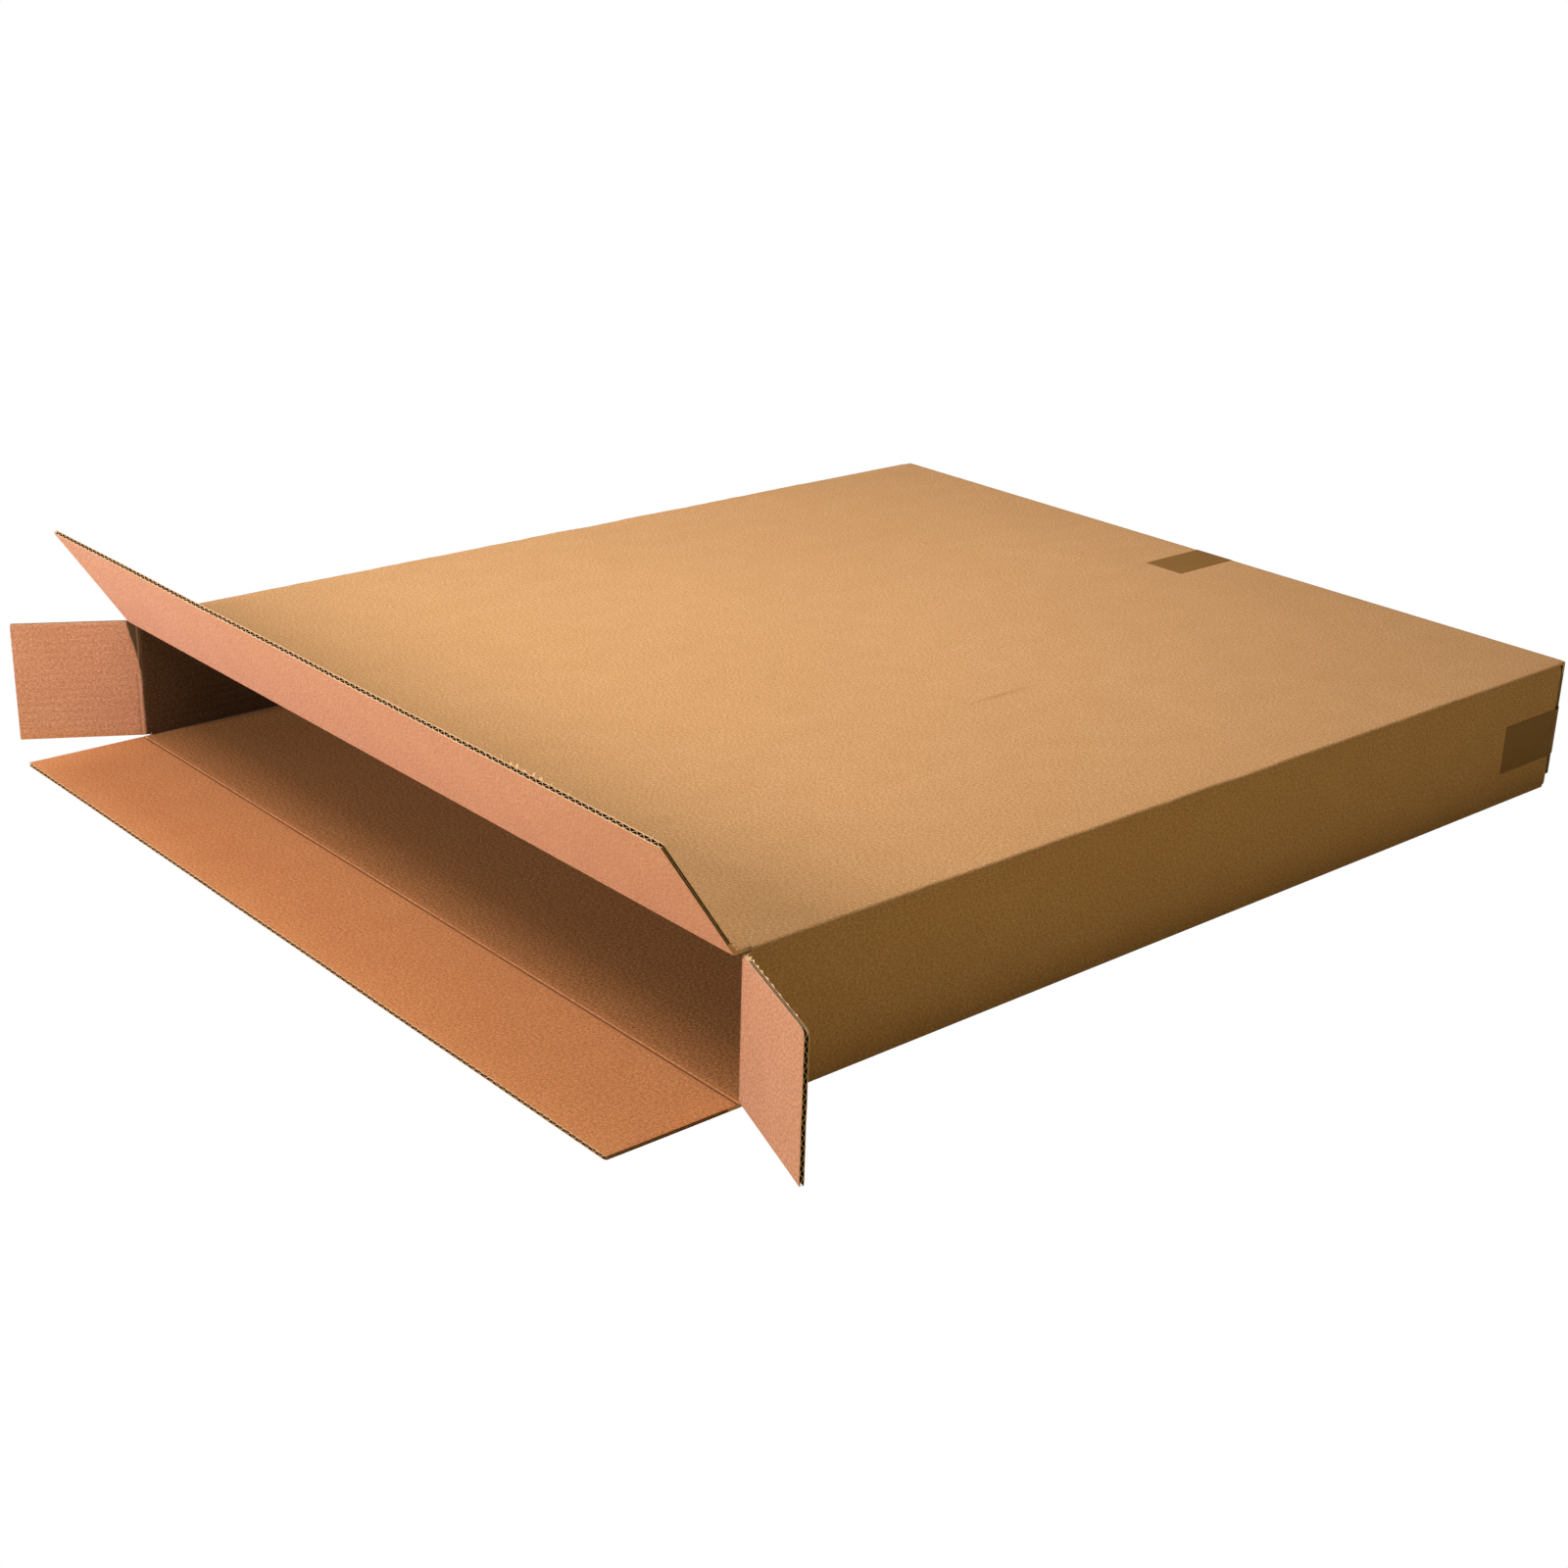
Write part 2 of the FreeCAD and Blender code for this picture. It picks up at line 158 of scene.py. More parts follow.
@dataclass
class Surface:
    """Faces gathered from grids of points, welded where the grids meet."""

    points: list = field(default_factory=list)
    blank: list = field(default_factory=list)
    quads: list = field(default_factory=list)
    sides: list = field(default_factory=list)
    count: int = 0

    def add_grid(self, points: np.ndarray, blank: np.ndarray, side: Side) -> None:
        """Adds a grid of quads that face along its row direction crossed with its column direction.

        Args:
            points: Places in millimetres, of shape rows by columns by 3.
            blank: Places on the flat sheet in millimetres, of shape rows by columns by 2.
            side: The surface that the faces belong to.
        """
        rows, columns = points.shape[:2]
        index = np.arange(rows * columns).reshape(rows, columns) + self.count
        corners = (index[:-1, :-1], index[1:, :-1], index[1:, 1:], index[:-1, 1:])
        quads = np.stack(corners, axis=-1).reshape(-1, 4)
        self.points.append(points.reshape(-1, 3))
        self.blank.append(np.broadcast_to(blank, (rows, columns, 2)).reshape(-1, 2))
        self.quads.append(quads)
        self.sides.append(np.full(len(quads), int(side)))
        self.count += rows * columns

    def add_wall(self, first: np.ndarray, second: np.ndarray, blank: np.ndarray, side: Side) -> None:
        """Adds one row of quads between two lines of points of equal length.

        Args:
            first: One line, of shape points by 3.
            second: The other line.
            blank: Places on the flat sheet, shared by both lines, of shape points by 2.
            side: The surface that the faces belong to.
        """
        self.add_grid(np.stack([first, second]), np.stack([blank, blank]), side)

    def add_slab(self, upper: np.ndarray, lower: np.ndarray, blank: np.ndarray, sides: tuple) -> None:
        """Adds a closed slab between two grids of one shape, its four edges walled.

        Args:
            upper: The face that looks along rows crossed with columns.
            lower: The opposite face, its points under the upper ones.
            blank: Places on the flat sheet, shared by both faces.
            sides: The surfaces of the upper face, the lower face and the four edges.
        """
        above, below, edge = sides
        self.add_grid(upper, blank, above)
        self.add_grid(lower[::-1], blank[::-1], below)
        self.add_wall(lower[0], upper[0], blank[0], edge)
        self.add_wall(upper[-1], lower[-1], blank[-1], edge)
        self.add_wall(upper[:, 0], lower[:, 0], blank[:, 0], edge)
        self.add_wall(lower[:, -1], upper[:, -1], blank[:, -1], edge)

    def build(self, name: str, materials: list) -> bpy.types.Object:
        """Makes the mesh object, with one material slot for each Side.

        Args:
            name: The object's name.
            materials: The materials, in the order of Side.

        Returns:
            The object, at the origin, in the scene's collection.
        """
        points = np.concatenate(self.points)
        blank = np.concatenate(self.blank)
        quads = np.concatenate(self.quads)
        sides = np.concatenate(self.sides)
        keys = np.round(points / WELD).astype(np.int64)
        _, first, place = np.unique(keys, axis=0, return_index=True, return_inverse=True)
        welded = place.reshape(-1)[quads]
        ordered = np.sort(welded, axis=1)
        whole = (np.diff(ordered, axis=1) > 0).all(axis=1)
        welded, source, sides = welded[whole], quads[whole], sides[whole]

        mesh = bpy.data.meshes.new(name)
        mesh.from_pydata((points[first] * MM).tolist(), [], welded.tolist())
        mesh.polygons.foreach_set("material_index", sides.astype(np.int32))
        mesh.polygons.foreach_set("use_smooth", np.ones(len(welded), bool))
        layer = mesh.attributes.new(BLANK, "FLOAT_VECTOR", "CORNER")
        on_sheet = np.zeros((len(source) * 4, 3), np.float32)
        on_sheet[:, :2] = blank[source.reshape(-1)] * MM
        layer.data.foreach_set("vector", on_sheet.ravel())
        for material in materials:
            mesh.materials.append(material)
        mesh.set_sharp_from_angle(angle=SHARP_ANGLE)
        mesh.update()
        piece = bpy.data.objects.new(name, mesh)
        bpy.context.scene.collection.objects.link(piece)
        return piece


@dataclass(frozen=True)
class CartonSizes:
    """The carton's main faces and creases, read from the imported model."""

    outer_x: float
    top: float
    slot_x: float
    side_low: float
    side_high: float
    side_crease: float
    bottom_crease: float
    top_crease: float
    lift: float
    far_outer: float
    overlap: float = 10.0
    layer_gap: float = 0.4
    front_gap: float = 0.25

    @classmethod
    def from_frame(cls) -> "CartonSizes":
        """Reads the sizes from the CAD nodes' boxes and the joints' places."""
        shell_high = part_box("carton_shell")[1]
        top_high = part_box("top_flap")[1]
        side_low, side_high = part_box("left_flap")
        creases = {joint["name"]: joint["pos_m"] for joint in frame["joints"]}
        return cls(
            outer_x=shell_high.x / MM,
            top=shell_high.z / MM,
            slot_x=top_high.x / MM,
            side_low=side_low.z / MM,
            side_high=side_high.z / MM,
            side_crease=creases["left_flap_fold"][1] / MM,
            bottom_crease=creases["bottom_flap_fold"][1] / MM,
            top_crease=creases["top_flap_fold"][1] / MM,
            lift=(creases["top_flap_fold"][2] - shell_high.z) / MM,
            far_outer=shell_high.y / MM,
        )

    @property
    def inner_x(self) -> float:
        """The side panels' inner faces."""
        return self.outer_x - BOARD.thickness

    @property
    def flap_depth(self) -> float:
        """How far every flap reaches from its crease."""
        return self.top - self.overlap

    @property
    def front(self) -> float:
        """The plane where the tube ends and the flaps' own sheets start."""
        return self.side_crease + BOARD.thickness + self.front_gap

    @property
    def far(self) -> float:
        """The plane where the tube ends at the closed end."""
        return self.far_outer - 3 * BOARD.thickness - 2 * self.layer_gap


@dataclass
class Track:
    """A board's section along its flutes, as matching points on its two faces.

    The first coordinate runs away from the panel and the second out of the box, with 0 at the panel's
    outer face. The first solid rows have crushed flutes, and past them the board is hollow.
    """

    outer: np.ndarray
    inner: np.ndarray
    along: np.ndarray
    solid: int

    @staticmethod
    def bend(
        corner: np.ndarray, before: np.ndarray, after: np.ndarray, reach: float, count: int
    ) -> np.ndarray:
        """A curve round a corner: (1-t)^2 p + 2t(1-t) c + t^2 q, where p and q lie reach from the corner c.

        Args:
            corner: Where the two straight runs would meet.
            before: The direction of the run that comes in.
            after: The direction of the run that goes out.
            reach: How far from the corner the curve starts and ends.
            count: How many points it has.

        Returns:
            The points, of shape count by 2.
        """
        share = np.linspace(0.0, 1.0, count)[:, None]
        start, end = corner - before * reach, corner + after * reach
        return (1 - share) ** 2 * start + 2 * share * (1 - share) * corner + share**2 * end

    @staticmethod
    def run(start: np.ndarray, end: np.ndarray, shares: np.ndarray) -> np.ndarray:
        """Points on the straight line from start to end, one for each share of its length."""
        return start + (end - start) * shares[:, None]


@dataclass(frozen=True)
class Crease:
    """How an open flap bends away from its panel."""

    turn: float
    reach: float = 1.3
    points: int = 9
    score: float = 0.0
    ridge: float = 0.0
    wander: float = 0.0
    score_width: float = 0.9
    ridge_place: float = 2.6
    ridge_width: float = 1.2

    def track(self, sizes: CartonSizes, lead: float) -> Track:
        """The section through the panel's last stretch, the bend and the flap.

        Both faces run straight to a short curve where the panel's plane and the flap's plane meet:
        that is (height below the hinge) * tan(turn / 2) past the crease. The inner face is raised by
        score * exp(-(a / score_width)^2) at the crease and lowered the same way at the ridge before it.

        Args:
            sizes: The carton's sizes.
            lead: How far before the crease the sheet starts.

        Returns:
            The track.
        """
        angle = math.radians(self.turn)
        panel = np.array([1.0, 0.0])
        flap = np.array([math.cos(angle), math.sin(angle)])
        slope = math.tan(angle / 2)
        depth = sizes.flap_depth
        lead_shares = np.linspace(0.0, 1.0, 4)[:-1]
        crush_shares = np.linspace(0.0, 1.0, 4)[1:]
        edge_shares = np.array([0.12, 0.3, 0.5, 0.7, 0.85, 0.93, 0.97, 0.985, 0.995, 1.0])
        faces = []
        for drop in (0.0, BOARD.thickness):
            below = drop + sizes.lift
            corner = np.array([below * slope, -drop])
            bend = Track.bend(corner, panel, flap, self.reach, self.points)
            crush_end = corner + flap * (BOARD.crush + below * slope)
            edge = corner + flap * (depth + below * slope)
            faces.append(np.concatenate([
                Track.run(np.array([-lead, -drop]), bend[0], lead_shares),
                bend,
                Track.run(bend[-1], crush_end, crush_shares),
                Track.run(crush_end, edge, edge_shares),
            ]))
        outer, inner = faces
        inner[:, 1] += self.score * np.exp(-((inner[:, 0] / self.score_width) ** 2))
        inner[:, 1] -= self.ridge * np.exp(-(((inner[:, 0] + self.ridge_place) / self.ridge_width) ** 2))
        along = np.concatenate([
            -lead + (lead - self.reach) * lead_shares,
            np.linspace(-self.reach, self.reach, self.points),
            self.reach + (BOARD.crush - self.reach) * crush_shares,
            BOARD.crush + (depth - BOARD.crush) * edge_shares,
        ])
        return Track(outer, inner, along, len(lead_shares) + self.points + len(crush_shares))


@dataclass(frozen=True)
class FarFold:
    """How a far flap folds in: a quarter turn that ends on a plane square to its panel."""

    reach: float

    def track(self, sizes: CartonSizes) -> Track:
        """The section through the panel's last stretch, the fold and the flap.

        The outer face turns through an arc of the fold's radius and the inner one through a smaller arc.

        Args:
            sizes: The carton's sizes.

        Returns:
            The track.
        """
        quarter = np.linspace(0.5 * np.pi, 0.0, 9)
        turn = np.stack([np.cos(quarter), np.sin(quarter)], axis=-1)
        crush_shares = np.linspace(0.0, 1.0, 4)[1:]
        edge_shares = np.array([0.2, 0.4, 0.6, 0.8, 0.92, 0.98, 1.0])
        faces = []
        for drop, radius in ((0.0, BOARD.fold_radius), (BOARD.thickness, BOARD.inner_radius)):
            plane = self.reach - drop
            centre = np.array([plane - radius, -drop - radius])
            start = np.array([[0.0, -drop]])
            crush_end = np.array([plane, -BOARD.crush - BOARD.thickness])
            edge = np.array([plane, -sizes.flap_depth])
            arc = centre + radius * turn
            faces.append(np.concatenate([
                start,
                arc,
                Track.run(arc[-1], crush_end, crush_shares),
                Track.run(crush_end, edge, edge_shares),
            ]))
        outer, inner = faces
        return Track(outer, inner, lengths(outer), 1 + len(quarter) + len(crush_shares))


@dataclass(frozen=True)
class Sliver:
    """A strip of liner torn loose at an edge. Its place is measured along that edge."""

    place: float
    length: float
    width: float
    curl: float
    lean: float
    taper: float = 0.75

    def spread(self, share: np.ndarray) -> np.ndarray:
        """Where its left side, middle and right side lie along the edge.

        The middle leans by lean * t^2, and the sides close in by taper * t of the half width.

        Args:
            share: Shares t of its length.

        Returns:
            The places, of shape shares by 3.
        """
        half = 0.5 * self.width * (1.0 - self.taper * share)
        return self.place + (self.lean * share**2)[:, None] + half[:, None] * np.array([-1.0, 0.0, 1.0])

    def rise(self, share: np.ndarray) -> np.ndarray:
        """How far it curls out of the sheet: curl * length * t^2."""
        return self.curl * self.length * share**2


@dataclass
class Leaf:
    """One flap with its panel's last stretch: two liners, a medium and crushed flutes at the crease."""

    name: str
    origin: np.ndarray
    across: np.ndarray
    away: np.ndarray
    out: np.ndarray
    half: float
    track: Track
    blank_start: tuple
    blank_turn: tuple
    columns: int
    seed: int
    warp: float = 0.0
    ragged: float = 0.25
    wander: float = 0.0
    corner: float = 1.0
    tufts: tuple = ()
    fringe: tuple = ()
    root: float = 0.3
    sliver_half: float = 0.11

    def place(self, plane: np.ndarray, along_edge: np.ndarray) -> np.ndarray:
        """Puts section points into space, for each place along the crease.

        The formula is origin + across * u + away * a + out * b.

        Args:
            plane: Section points (a, b), of shape rows by columns by 2.
            along_edge: Places u along the crease, of a shape that spreads over rows by columns.

        Returns:
            Points of shape rows by columns by 3.
        """
        spread = np.broadcast_to(along_edge, plane.shape[:2])[..., None]
        return (
            self.origin
            + self.across * spread
            + self.away * plane[..., :1]
            + self.out * plane[..., 1:]
        )

    @property
    def mirrored(self) -> bool:
        """Whether away crossed with across looks into the box, so that grids have to be turned."""
        return bool(np.dot(np.cross(self.away, self.across), self.out) < 0)

    @staticmethod
    def turned(grids: list, mirrored: bool) -> list:
        """The grids, with their columns in the opposite order where mirrored."""
        return [grid[:, ::-1] for grid in grids] if mirrored else grids

    def on_sheet(self, places: np.ndarray, along: np.ndarray) -> np.ndarray:
        """Places on the flat sheet, blank_start + blank_turn * (u, v).

        Args:
            places: Places u along the crease.
            along: Distances v from it.

        Returns:
            The places, of shape distances by places by 2.
        """
        places, along = np.meshgrid(places, along)
        return np.array(self.blank_start) + np.array(self.blank_turn) * np.stack([places, along], axis=-1)

    def edge_places(self) -> np.ndarray:
        """Places along the crease, closer together near both ends."""
        share = np.linspace(-1.0, 1.0, self.columns)
        return self.half * (share + 0.012 * np.sin(np.pi * share))

    def shaped(self, line: np.ndarray, depth: np.ndarray, places: np.ndarray, seed: int) -> np.ndarray:
        """One face's section points for all columns, with the sheet's small unevenness added.

        The flap bows inward by warp * (distance / depth)^2 * (1 - ripple) / 2. The cut edge is uneven by
        ragged * ripple and blunted by corner - sqrt(corner^2 - past^2) at the crease's far end. The bend
        wanders by wander * ripple.

        Args:
            line: The face's section points, of shape rows by 2.
            depth: Distances from the crease along the sheet, one for each row.
            places: Places along the crease.
            seed: Sets the cut edge's unevenness.

        Returns:
            Section points of shape rows by columns by 2.
        """
        onward, square = headings(line[-2], line[-1])
        reach = np.clip(depth / depth[-1], 0.0, 1.0)
        wave = ripple(places, self.half * 1.1, self.seed)
        bow = 0.5 * self.warp * (reach**2)[:, None] * (wave - 1.0)[None, :]
        past = np.clip((places - self.half) / max(self.corner, 1e-6) + 1.0, 0.0, 1.0)
        blunt = self.corner * (1.0 - np.sqrt(1.0 - past**2))
        cut = smoothstep(reach, 0.9, 1.0)[:, None]
        uneven = 0.6 * ripple(places, 3.1, seed) + 0.4 * ripple(places, 17.0, seed + 1)
        near = np.exp(-((depth / 4.0) ** 2))[:, None]
        near = near * (np.abs(line[:, 0] - line[0, 0]) > 1e-6)[:, None]
        sway = self.wander * near * ripple(places, 60.0, self.seed + 5)[None, :]
        grid = np.repeat(line[:, None, :], len(places), axis=1)
        grid = grid + square * bow[..., None] + onward * (cut * (self.ragged * uneven - blunt))[..., None]
        grid[..., 0] += sway
        return grid

    def pinch(self, grid: np.ndarray, other: np.ndarray, places: np.ndarray) -> np.ndarray:
        """Draws a face's points toward the other face beside the two knife-cut ends."""
        ends = smoothstep(np.abs(places), self.half - 3.0, self.half)
        return grid + (other - grid) * (0.09 * ends)[None, :, None]

    def surface(self) -> Surface:
        """All of the flap's faces.

        Returns:
            The closed surfaces of the board and of its medium.
        """
        track, solid = self.track, self.track.solid
        places = self.edge_places()
        outer = self.shaped(track.outer, track.along, places, self.seed + 11)
        inner = self.shaped(track.inner, track.along, places, self.seed + 23)
        outer, inner = self.pinch(outer, inner, places), self.pinch(inner, outer, places)
        share = BOARD.liner / BOARD.thickness
        hollow_outer = outer[solid - 1:] + (inner[solid - 1:] - outer[solid - 1:]) * share
        hollow_inner = inner[solid - 1:] + (outer[solid - 1:] - inner[solid - 1:]) * share

        blank = self.on_sheet(places, track.along)
        hollow_blank = blank[solid - 1:]

        sheets = [self.place(grid, places[None, :]) for grid in (outer, inner, hollow_outer, hollow_inner)]
        *sheets, blank, hollow_blank = self.turned([*sheets, blank, hollow_blank], self.mirrored)
        face, back, under_face, under_back = sheets

        made = Surface()
        made.add_grid(face, blank, Side.OUTER)
        made.add_grid(back[::-1], blank[::-1], Side.INNER)
        made.add_grid(under_face[::-1], hollow_blank[::-1], Side.MEDIUM)
        made.add_grid(under_back, hollow_blank, Side.MEDIUM)
        made.add_wall(under_back[0], under_face[0], hollow_blank[0], Side.MEDIUM)
        made.add_wall(back[0], face[0], blank[0], Side.CUT)
        made.add_wall(face[-1], under_face[-1], blank[-1], Side.CUT)
        made.add_wall(under_back[-1], back[-1], blank[-1], Side.CUT)
        self.add_ends(made, sheets, blank, hollow_blank)
        self.add_medium(made, hollow_outer, hollow_inner, places)
        self.add_tufts(made, outer, places)
        self.add_fringe(made, outer[:, -1])
        return made

    def add_tufts(self, made: Surface, outer: np.ndarray, places: np.ndarray) -> None:
        """Adds slivers of the outer liner that a blunt knife has torn loose along the cut edge.

        A sliver runs on from the edge by length * t and curls outward.

        Args:
            made: The surface to add to.
            outer: Section points of the outer face, of shape rows by columns by 2.
            places: Places along the crease of the columns.
        """
        share = np.linspace(0.0, 1.0, 6)
        for tuft in self.tufts:
            edge, before = (read_line(tuft.place, places, outer[row]) for row in (-1, -2))
            onward, square = headings(before, edge)
            start = edge - onward * self.root - square * 0.25
            line = start + onward * (tuft.length * share)[:, None] + square * tuft.rise(share)[:, None]
            spread = tuft.spread(share)
            past = np.broadcast_to(tuft.length * share[:, None], spread.shape)
            grid = np.repeat(line[:, None, :], 3, axis=1)
            blank = np.stack([spread, past], axis=-1)
            self.add_sliver(made, grid, spread, square, blank, self.mirrored, Side.OUTER)

    def add_fringe(self, made: Surface, end: np.ndarray) -> None:
        """Adds pale slivers of the outer liner along the knife-cut end at the crease's far end.

        A sliver runs on past the end by length * t and curls outward.

        Args:
            made: The surface to add to.
            end: Section points of the outer face at that end, of shape rows by 2.
        """
        share = np.linspace(0.0, 1.0, 6)
        _, square = headings(end[-2], end[-1])
        for thread in self.fringe:
            spread = thread.spread(share)
            rise = (thread.rise(share) - 0.2)[:, None, None]
            grid = read_line(spread, self.track.along, end) + square * rise
            past = np.broadcast_to(self.half - self.root + thread.length * share[:, None], spread.shape)
            blank = np.stack([past, spread], axis=-1)
            self.add_sliver(made, grid, past, square, blank, not self.mirrored, Side.CUT)

    def add_sliver(
        self, made: Surface, grid: np.ndarray, places: np.ndarray, square: np.ndarray,
        blank: np.ndarray, mirrored: bool, face: Side,
    ) -> None:
        """Adds one sliver as a thin closed slab.

        Args:
            made: The surface to add to.
            grid: Section points of its middle, of shape rows by columns by 2.
            places: Places along the crease, of shape rows by columns.
            square: The section's direction out of the sheet.
            blank: Places on the flat sheet.
            mirrored: Whether the grid's columns have to be turned.
            face: The surface that its outer side shows.
        """
        lift = square * self.sliver_half
        grids = [self.place(grid + lift, places), self.place(grid - lift, places), blank]
        made.add_slab(*self.turned(grids, mirrored), (face, Side.CUT, Side.CUT))

    def add_ends(self, made: Surface, sheets: list, blank: np.ndarray, hollow_blank: np.ndarray) -> None:
        """Closes the two knife-cut ends: both liners' edges and the crushed stretch.

        Args:
            made: The surface to add to.
            sheets: The grids of the outer face, the inner face and the hollow's two faces.
            blank: The faces' places on the flat sheet.
            hollow_blank: The hollow's places on the flat sheet.
        """
        solid = self.track.solid
        face, back, under_face, under_back = sheets
        made.add_wall(face[:solid, 0], back[:solid, 0], blank[:solid, 0], Side.CUT)
        made.add_wall(back[:solid, -1], face[:solid, -1], blank[:solid, -1], Side.CUT)
        for first, second in ((face[solid - 1:], under_face), (under_back, back[solid - 1:])):
            made.add_wall(first[:, 0], second[:, 0], hollow_blank[:, 0], Side.CUT)
            made.add_wall(second[:, -1], first[:, -1], hollow_blank[:, -1], Side.CUT)

    def add_medium(
        self, made: Surface, upper: np.ndarray, lower: np.ndarray, places: np.ndarray
    ) -> None:
        """Adds the wavy paper between the liners, as a closed sheet.

        Its middle is a sine across the flutes, (1 + s sin(2 pi u / pitch)) / 2 of the way from one liner
        to the other, and its phase makes it cross the middle at both ends. It stops a little short of
        the cut edge.

        Args:
            made: The surface to add to.
            upper: Section points of the outer liner's inside, of shape rows by columns by 2.
            lower: Section points of the inner liner's inside.
            places: Places along the crease of the columns.
        """
        waves = round(2 * self.half * 2 / BOARD.pitch) / 2
        fine = np.linspace(-self.half, self.half, int(waves * 8) + 1)
        rows = (0, 3, 6, upper.shape[0] - 2, upper.shape[0] - 1)
        top, bottom = (
            np.stack([read_line(fine, places, face[row]) for row in rows]) for face in (upper, lower)
        )
        for face in (top, bottom):
            face[-1] = face[-2] + (face[-1] - face[-2]) * 0.55
        gap = BOARD.thickness - 2 * BOARD.liner
        swing = 1.0 - BOARD.medium / gap - 0.01
        wave = 0.5 + 0.5 * swing * np.sin(2.0 * np.pi * waves * (fine + self.half) / (2 * self.half))
        half_paper = 0.5 * BOARD.medium / gap
        grids = [
            self.place(top + (bottom - top) * (wave + side)[None, :, None], fine[None, :])
            for side in (-half_paper, half_paper)
        ]
        blank = self.on_sheet(fine, self.track.along[self.track.solid - 1:][list(rows)])
        first, second, blank = self.turned([*grids, blank], self.mirrored)
        made.add_slab(first, second, blank, (Side.MEDIUM, Side.MEDIUM, Side.CUT))


@dataclass
class Tube:
    """The four panels and the glued tab: one sheet folded round the carton."""

    sizes: CartonSizes
    tab_width: float = 35.0
    tab_setback: float = 15.0
    tab_short: float = 1.0
    tab_gap: float = 0.1
    raw_edge: float = 0.5
    row_step: float = 9.0
    sag: float = 1.6
    bulge: float = 0.9
    fold_sway: float = 0.55
    tape_bed: float = 0.36
    legs: tuple = (14, 102, 14, 102, 5)
    turn_points: int = 8

    def section(self) -> tuple[np.ndarray, np.ndarray, np.ndarray]:
        """The sheet's run round the carton, seen along the flutes.

        Straight runs join quarter arcs: the outer face has the folds' radius and the inner face a
        smaller one, with as many points.

        Returns:
            The outer face's points (x, z), the inner face's points and their distances along the sheet.
        """
        sizes, board = self.sizes, BOARD
        right, left = sizes.outer_x, -sizes.outer_x
        tab = sizes.inner_x - self.tab_gap
        corners = (
            (right, sizes.top, 0.0),
            (left, sizes.top, 0.5 * np.pi),
            (left, 0.0, np.pi),
            (tab, 0.0, 1.5 * np.pi),
        )
        lines = []
        for inset, radius in ((0.0, board.fold_radius), (board.thickness, board.inner_radius)):
            start = np.array([right - inset, self.raw_edge])
            pieces = []
            for (x, z, first_angle), count in zip(corners, self.legs):
                inward = np.array([-np.sign(x), 1.0 if z == 0.0 else -1.0])
                centre = np.array([x, z]) + inward * (inset + radius)
                angles = first_angle + np.linspace(0.0, 0.5 * np.pi, self.turn_points)
                arc = centre + radius * np.stack([np.cos(angles), np.sin(angles)], axis=-1)
                pieces.append(Track.run(start, arc[0], np.linspace(0.0, 1.0, count)[:-1]))
                pieces.append(arc[:-1])
                start = arc[-1]
            end = np.array([start[0], self.tab_width])
            pieces.append(Track.run(start, end, np.linspace(0.0, 1.0, self.legs[-1])))
            lines.append(np.concatenate(pieces))
        outer, inner = lines
        along = lengths(outer)
        on_top = self.legs[1] + self.turn_points
        middle = np.interp(0.0, -outer[:on_top, 0], along[:on_top])
        return outer, inner, middle - along

    def settle(self, x: np.ndarray, y: np.ndarray, z: np.ndarray) -> np.ndarray:
        """How far the real sheet lies from true planes, at places given on its outer face.

        The top panel sags by sag * (1 - (x / half width)^2) and the side panels bulge by bulge *
        sin(pi z / height). The upper folds sway by fold_sway * ripple, and rise and fall by that and by
        four fifths of a shorter ripple. All of it fades to nothing at the open end and under the tape.
        The underside is pressed in by tape_bed under the tape.

        Args:
            x: Places across the carton.
            y: Places along it.
            z: Heights.

        Returns:
            The offsets, of the places' shape with 3 more.
        """
        sizes = self.sizes
        fade = smoothstep(y, sizes.front + 6, sizes.front + 170)
        fade = fade * (1 - smoothstep(y, sizes.far - 200, sizes.far - 85))
        share_x = np.clip(x / sizes.outer_x, -1.0, 1.0)
        share_z = np.clip(z / sizes.top, 0.0, 1.0)
        offset = np.zeros(np.broadcast(x, y, z).shape + (3,))
        on_top = smoothstep(share_z, 0.9, 1.0)
        near_fold = np.abs(share_x) ** 14 * share_z**3
        offset[..., 2] -= self.sag * (1 - share_x**2) * on_top * fade
        sway = self.fold_sway * (ripple(y, 210.0, 41) + 0.8 * ripple(y, 55.0, 43))
        offset[..., 2] += sway * near_fold * fade
        offset[..., 0] += np.sign(x) * self.bulge * np.sin(np.pi * share_z) * np.abs(share_x) ** 30 * fade
        offset[..., 0] += self.fold_sway * ripple(y, 160.0, 42) * near_fold * fade
        tape_low, tape_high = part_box("cross_tape")
        across = smoothstep(x, tape_low.x / MM - 22, tape_low.x / MM - 1)
        across = across * (1 - smoothstep(x, tape_high.x / MM + 1, tape_high.x / MM + 22))
        bed = across * smoothstep(y, tape_low.y / MM - 24, tape_low.y / MM - 2) * (share_z < 0.02)
        offset[..., 2] += self.tape_bed * bed
        return offset

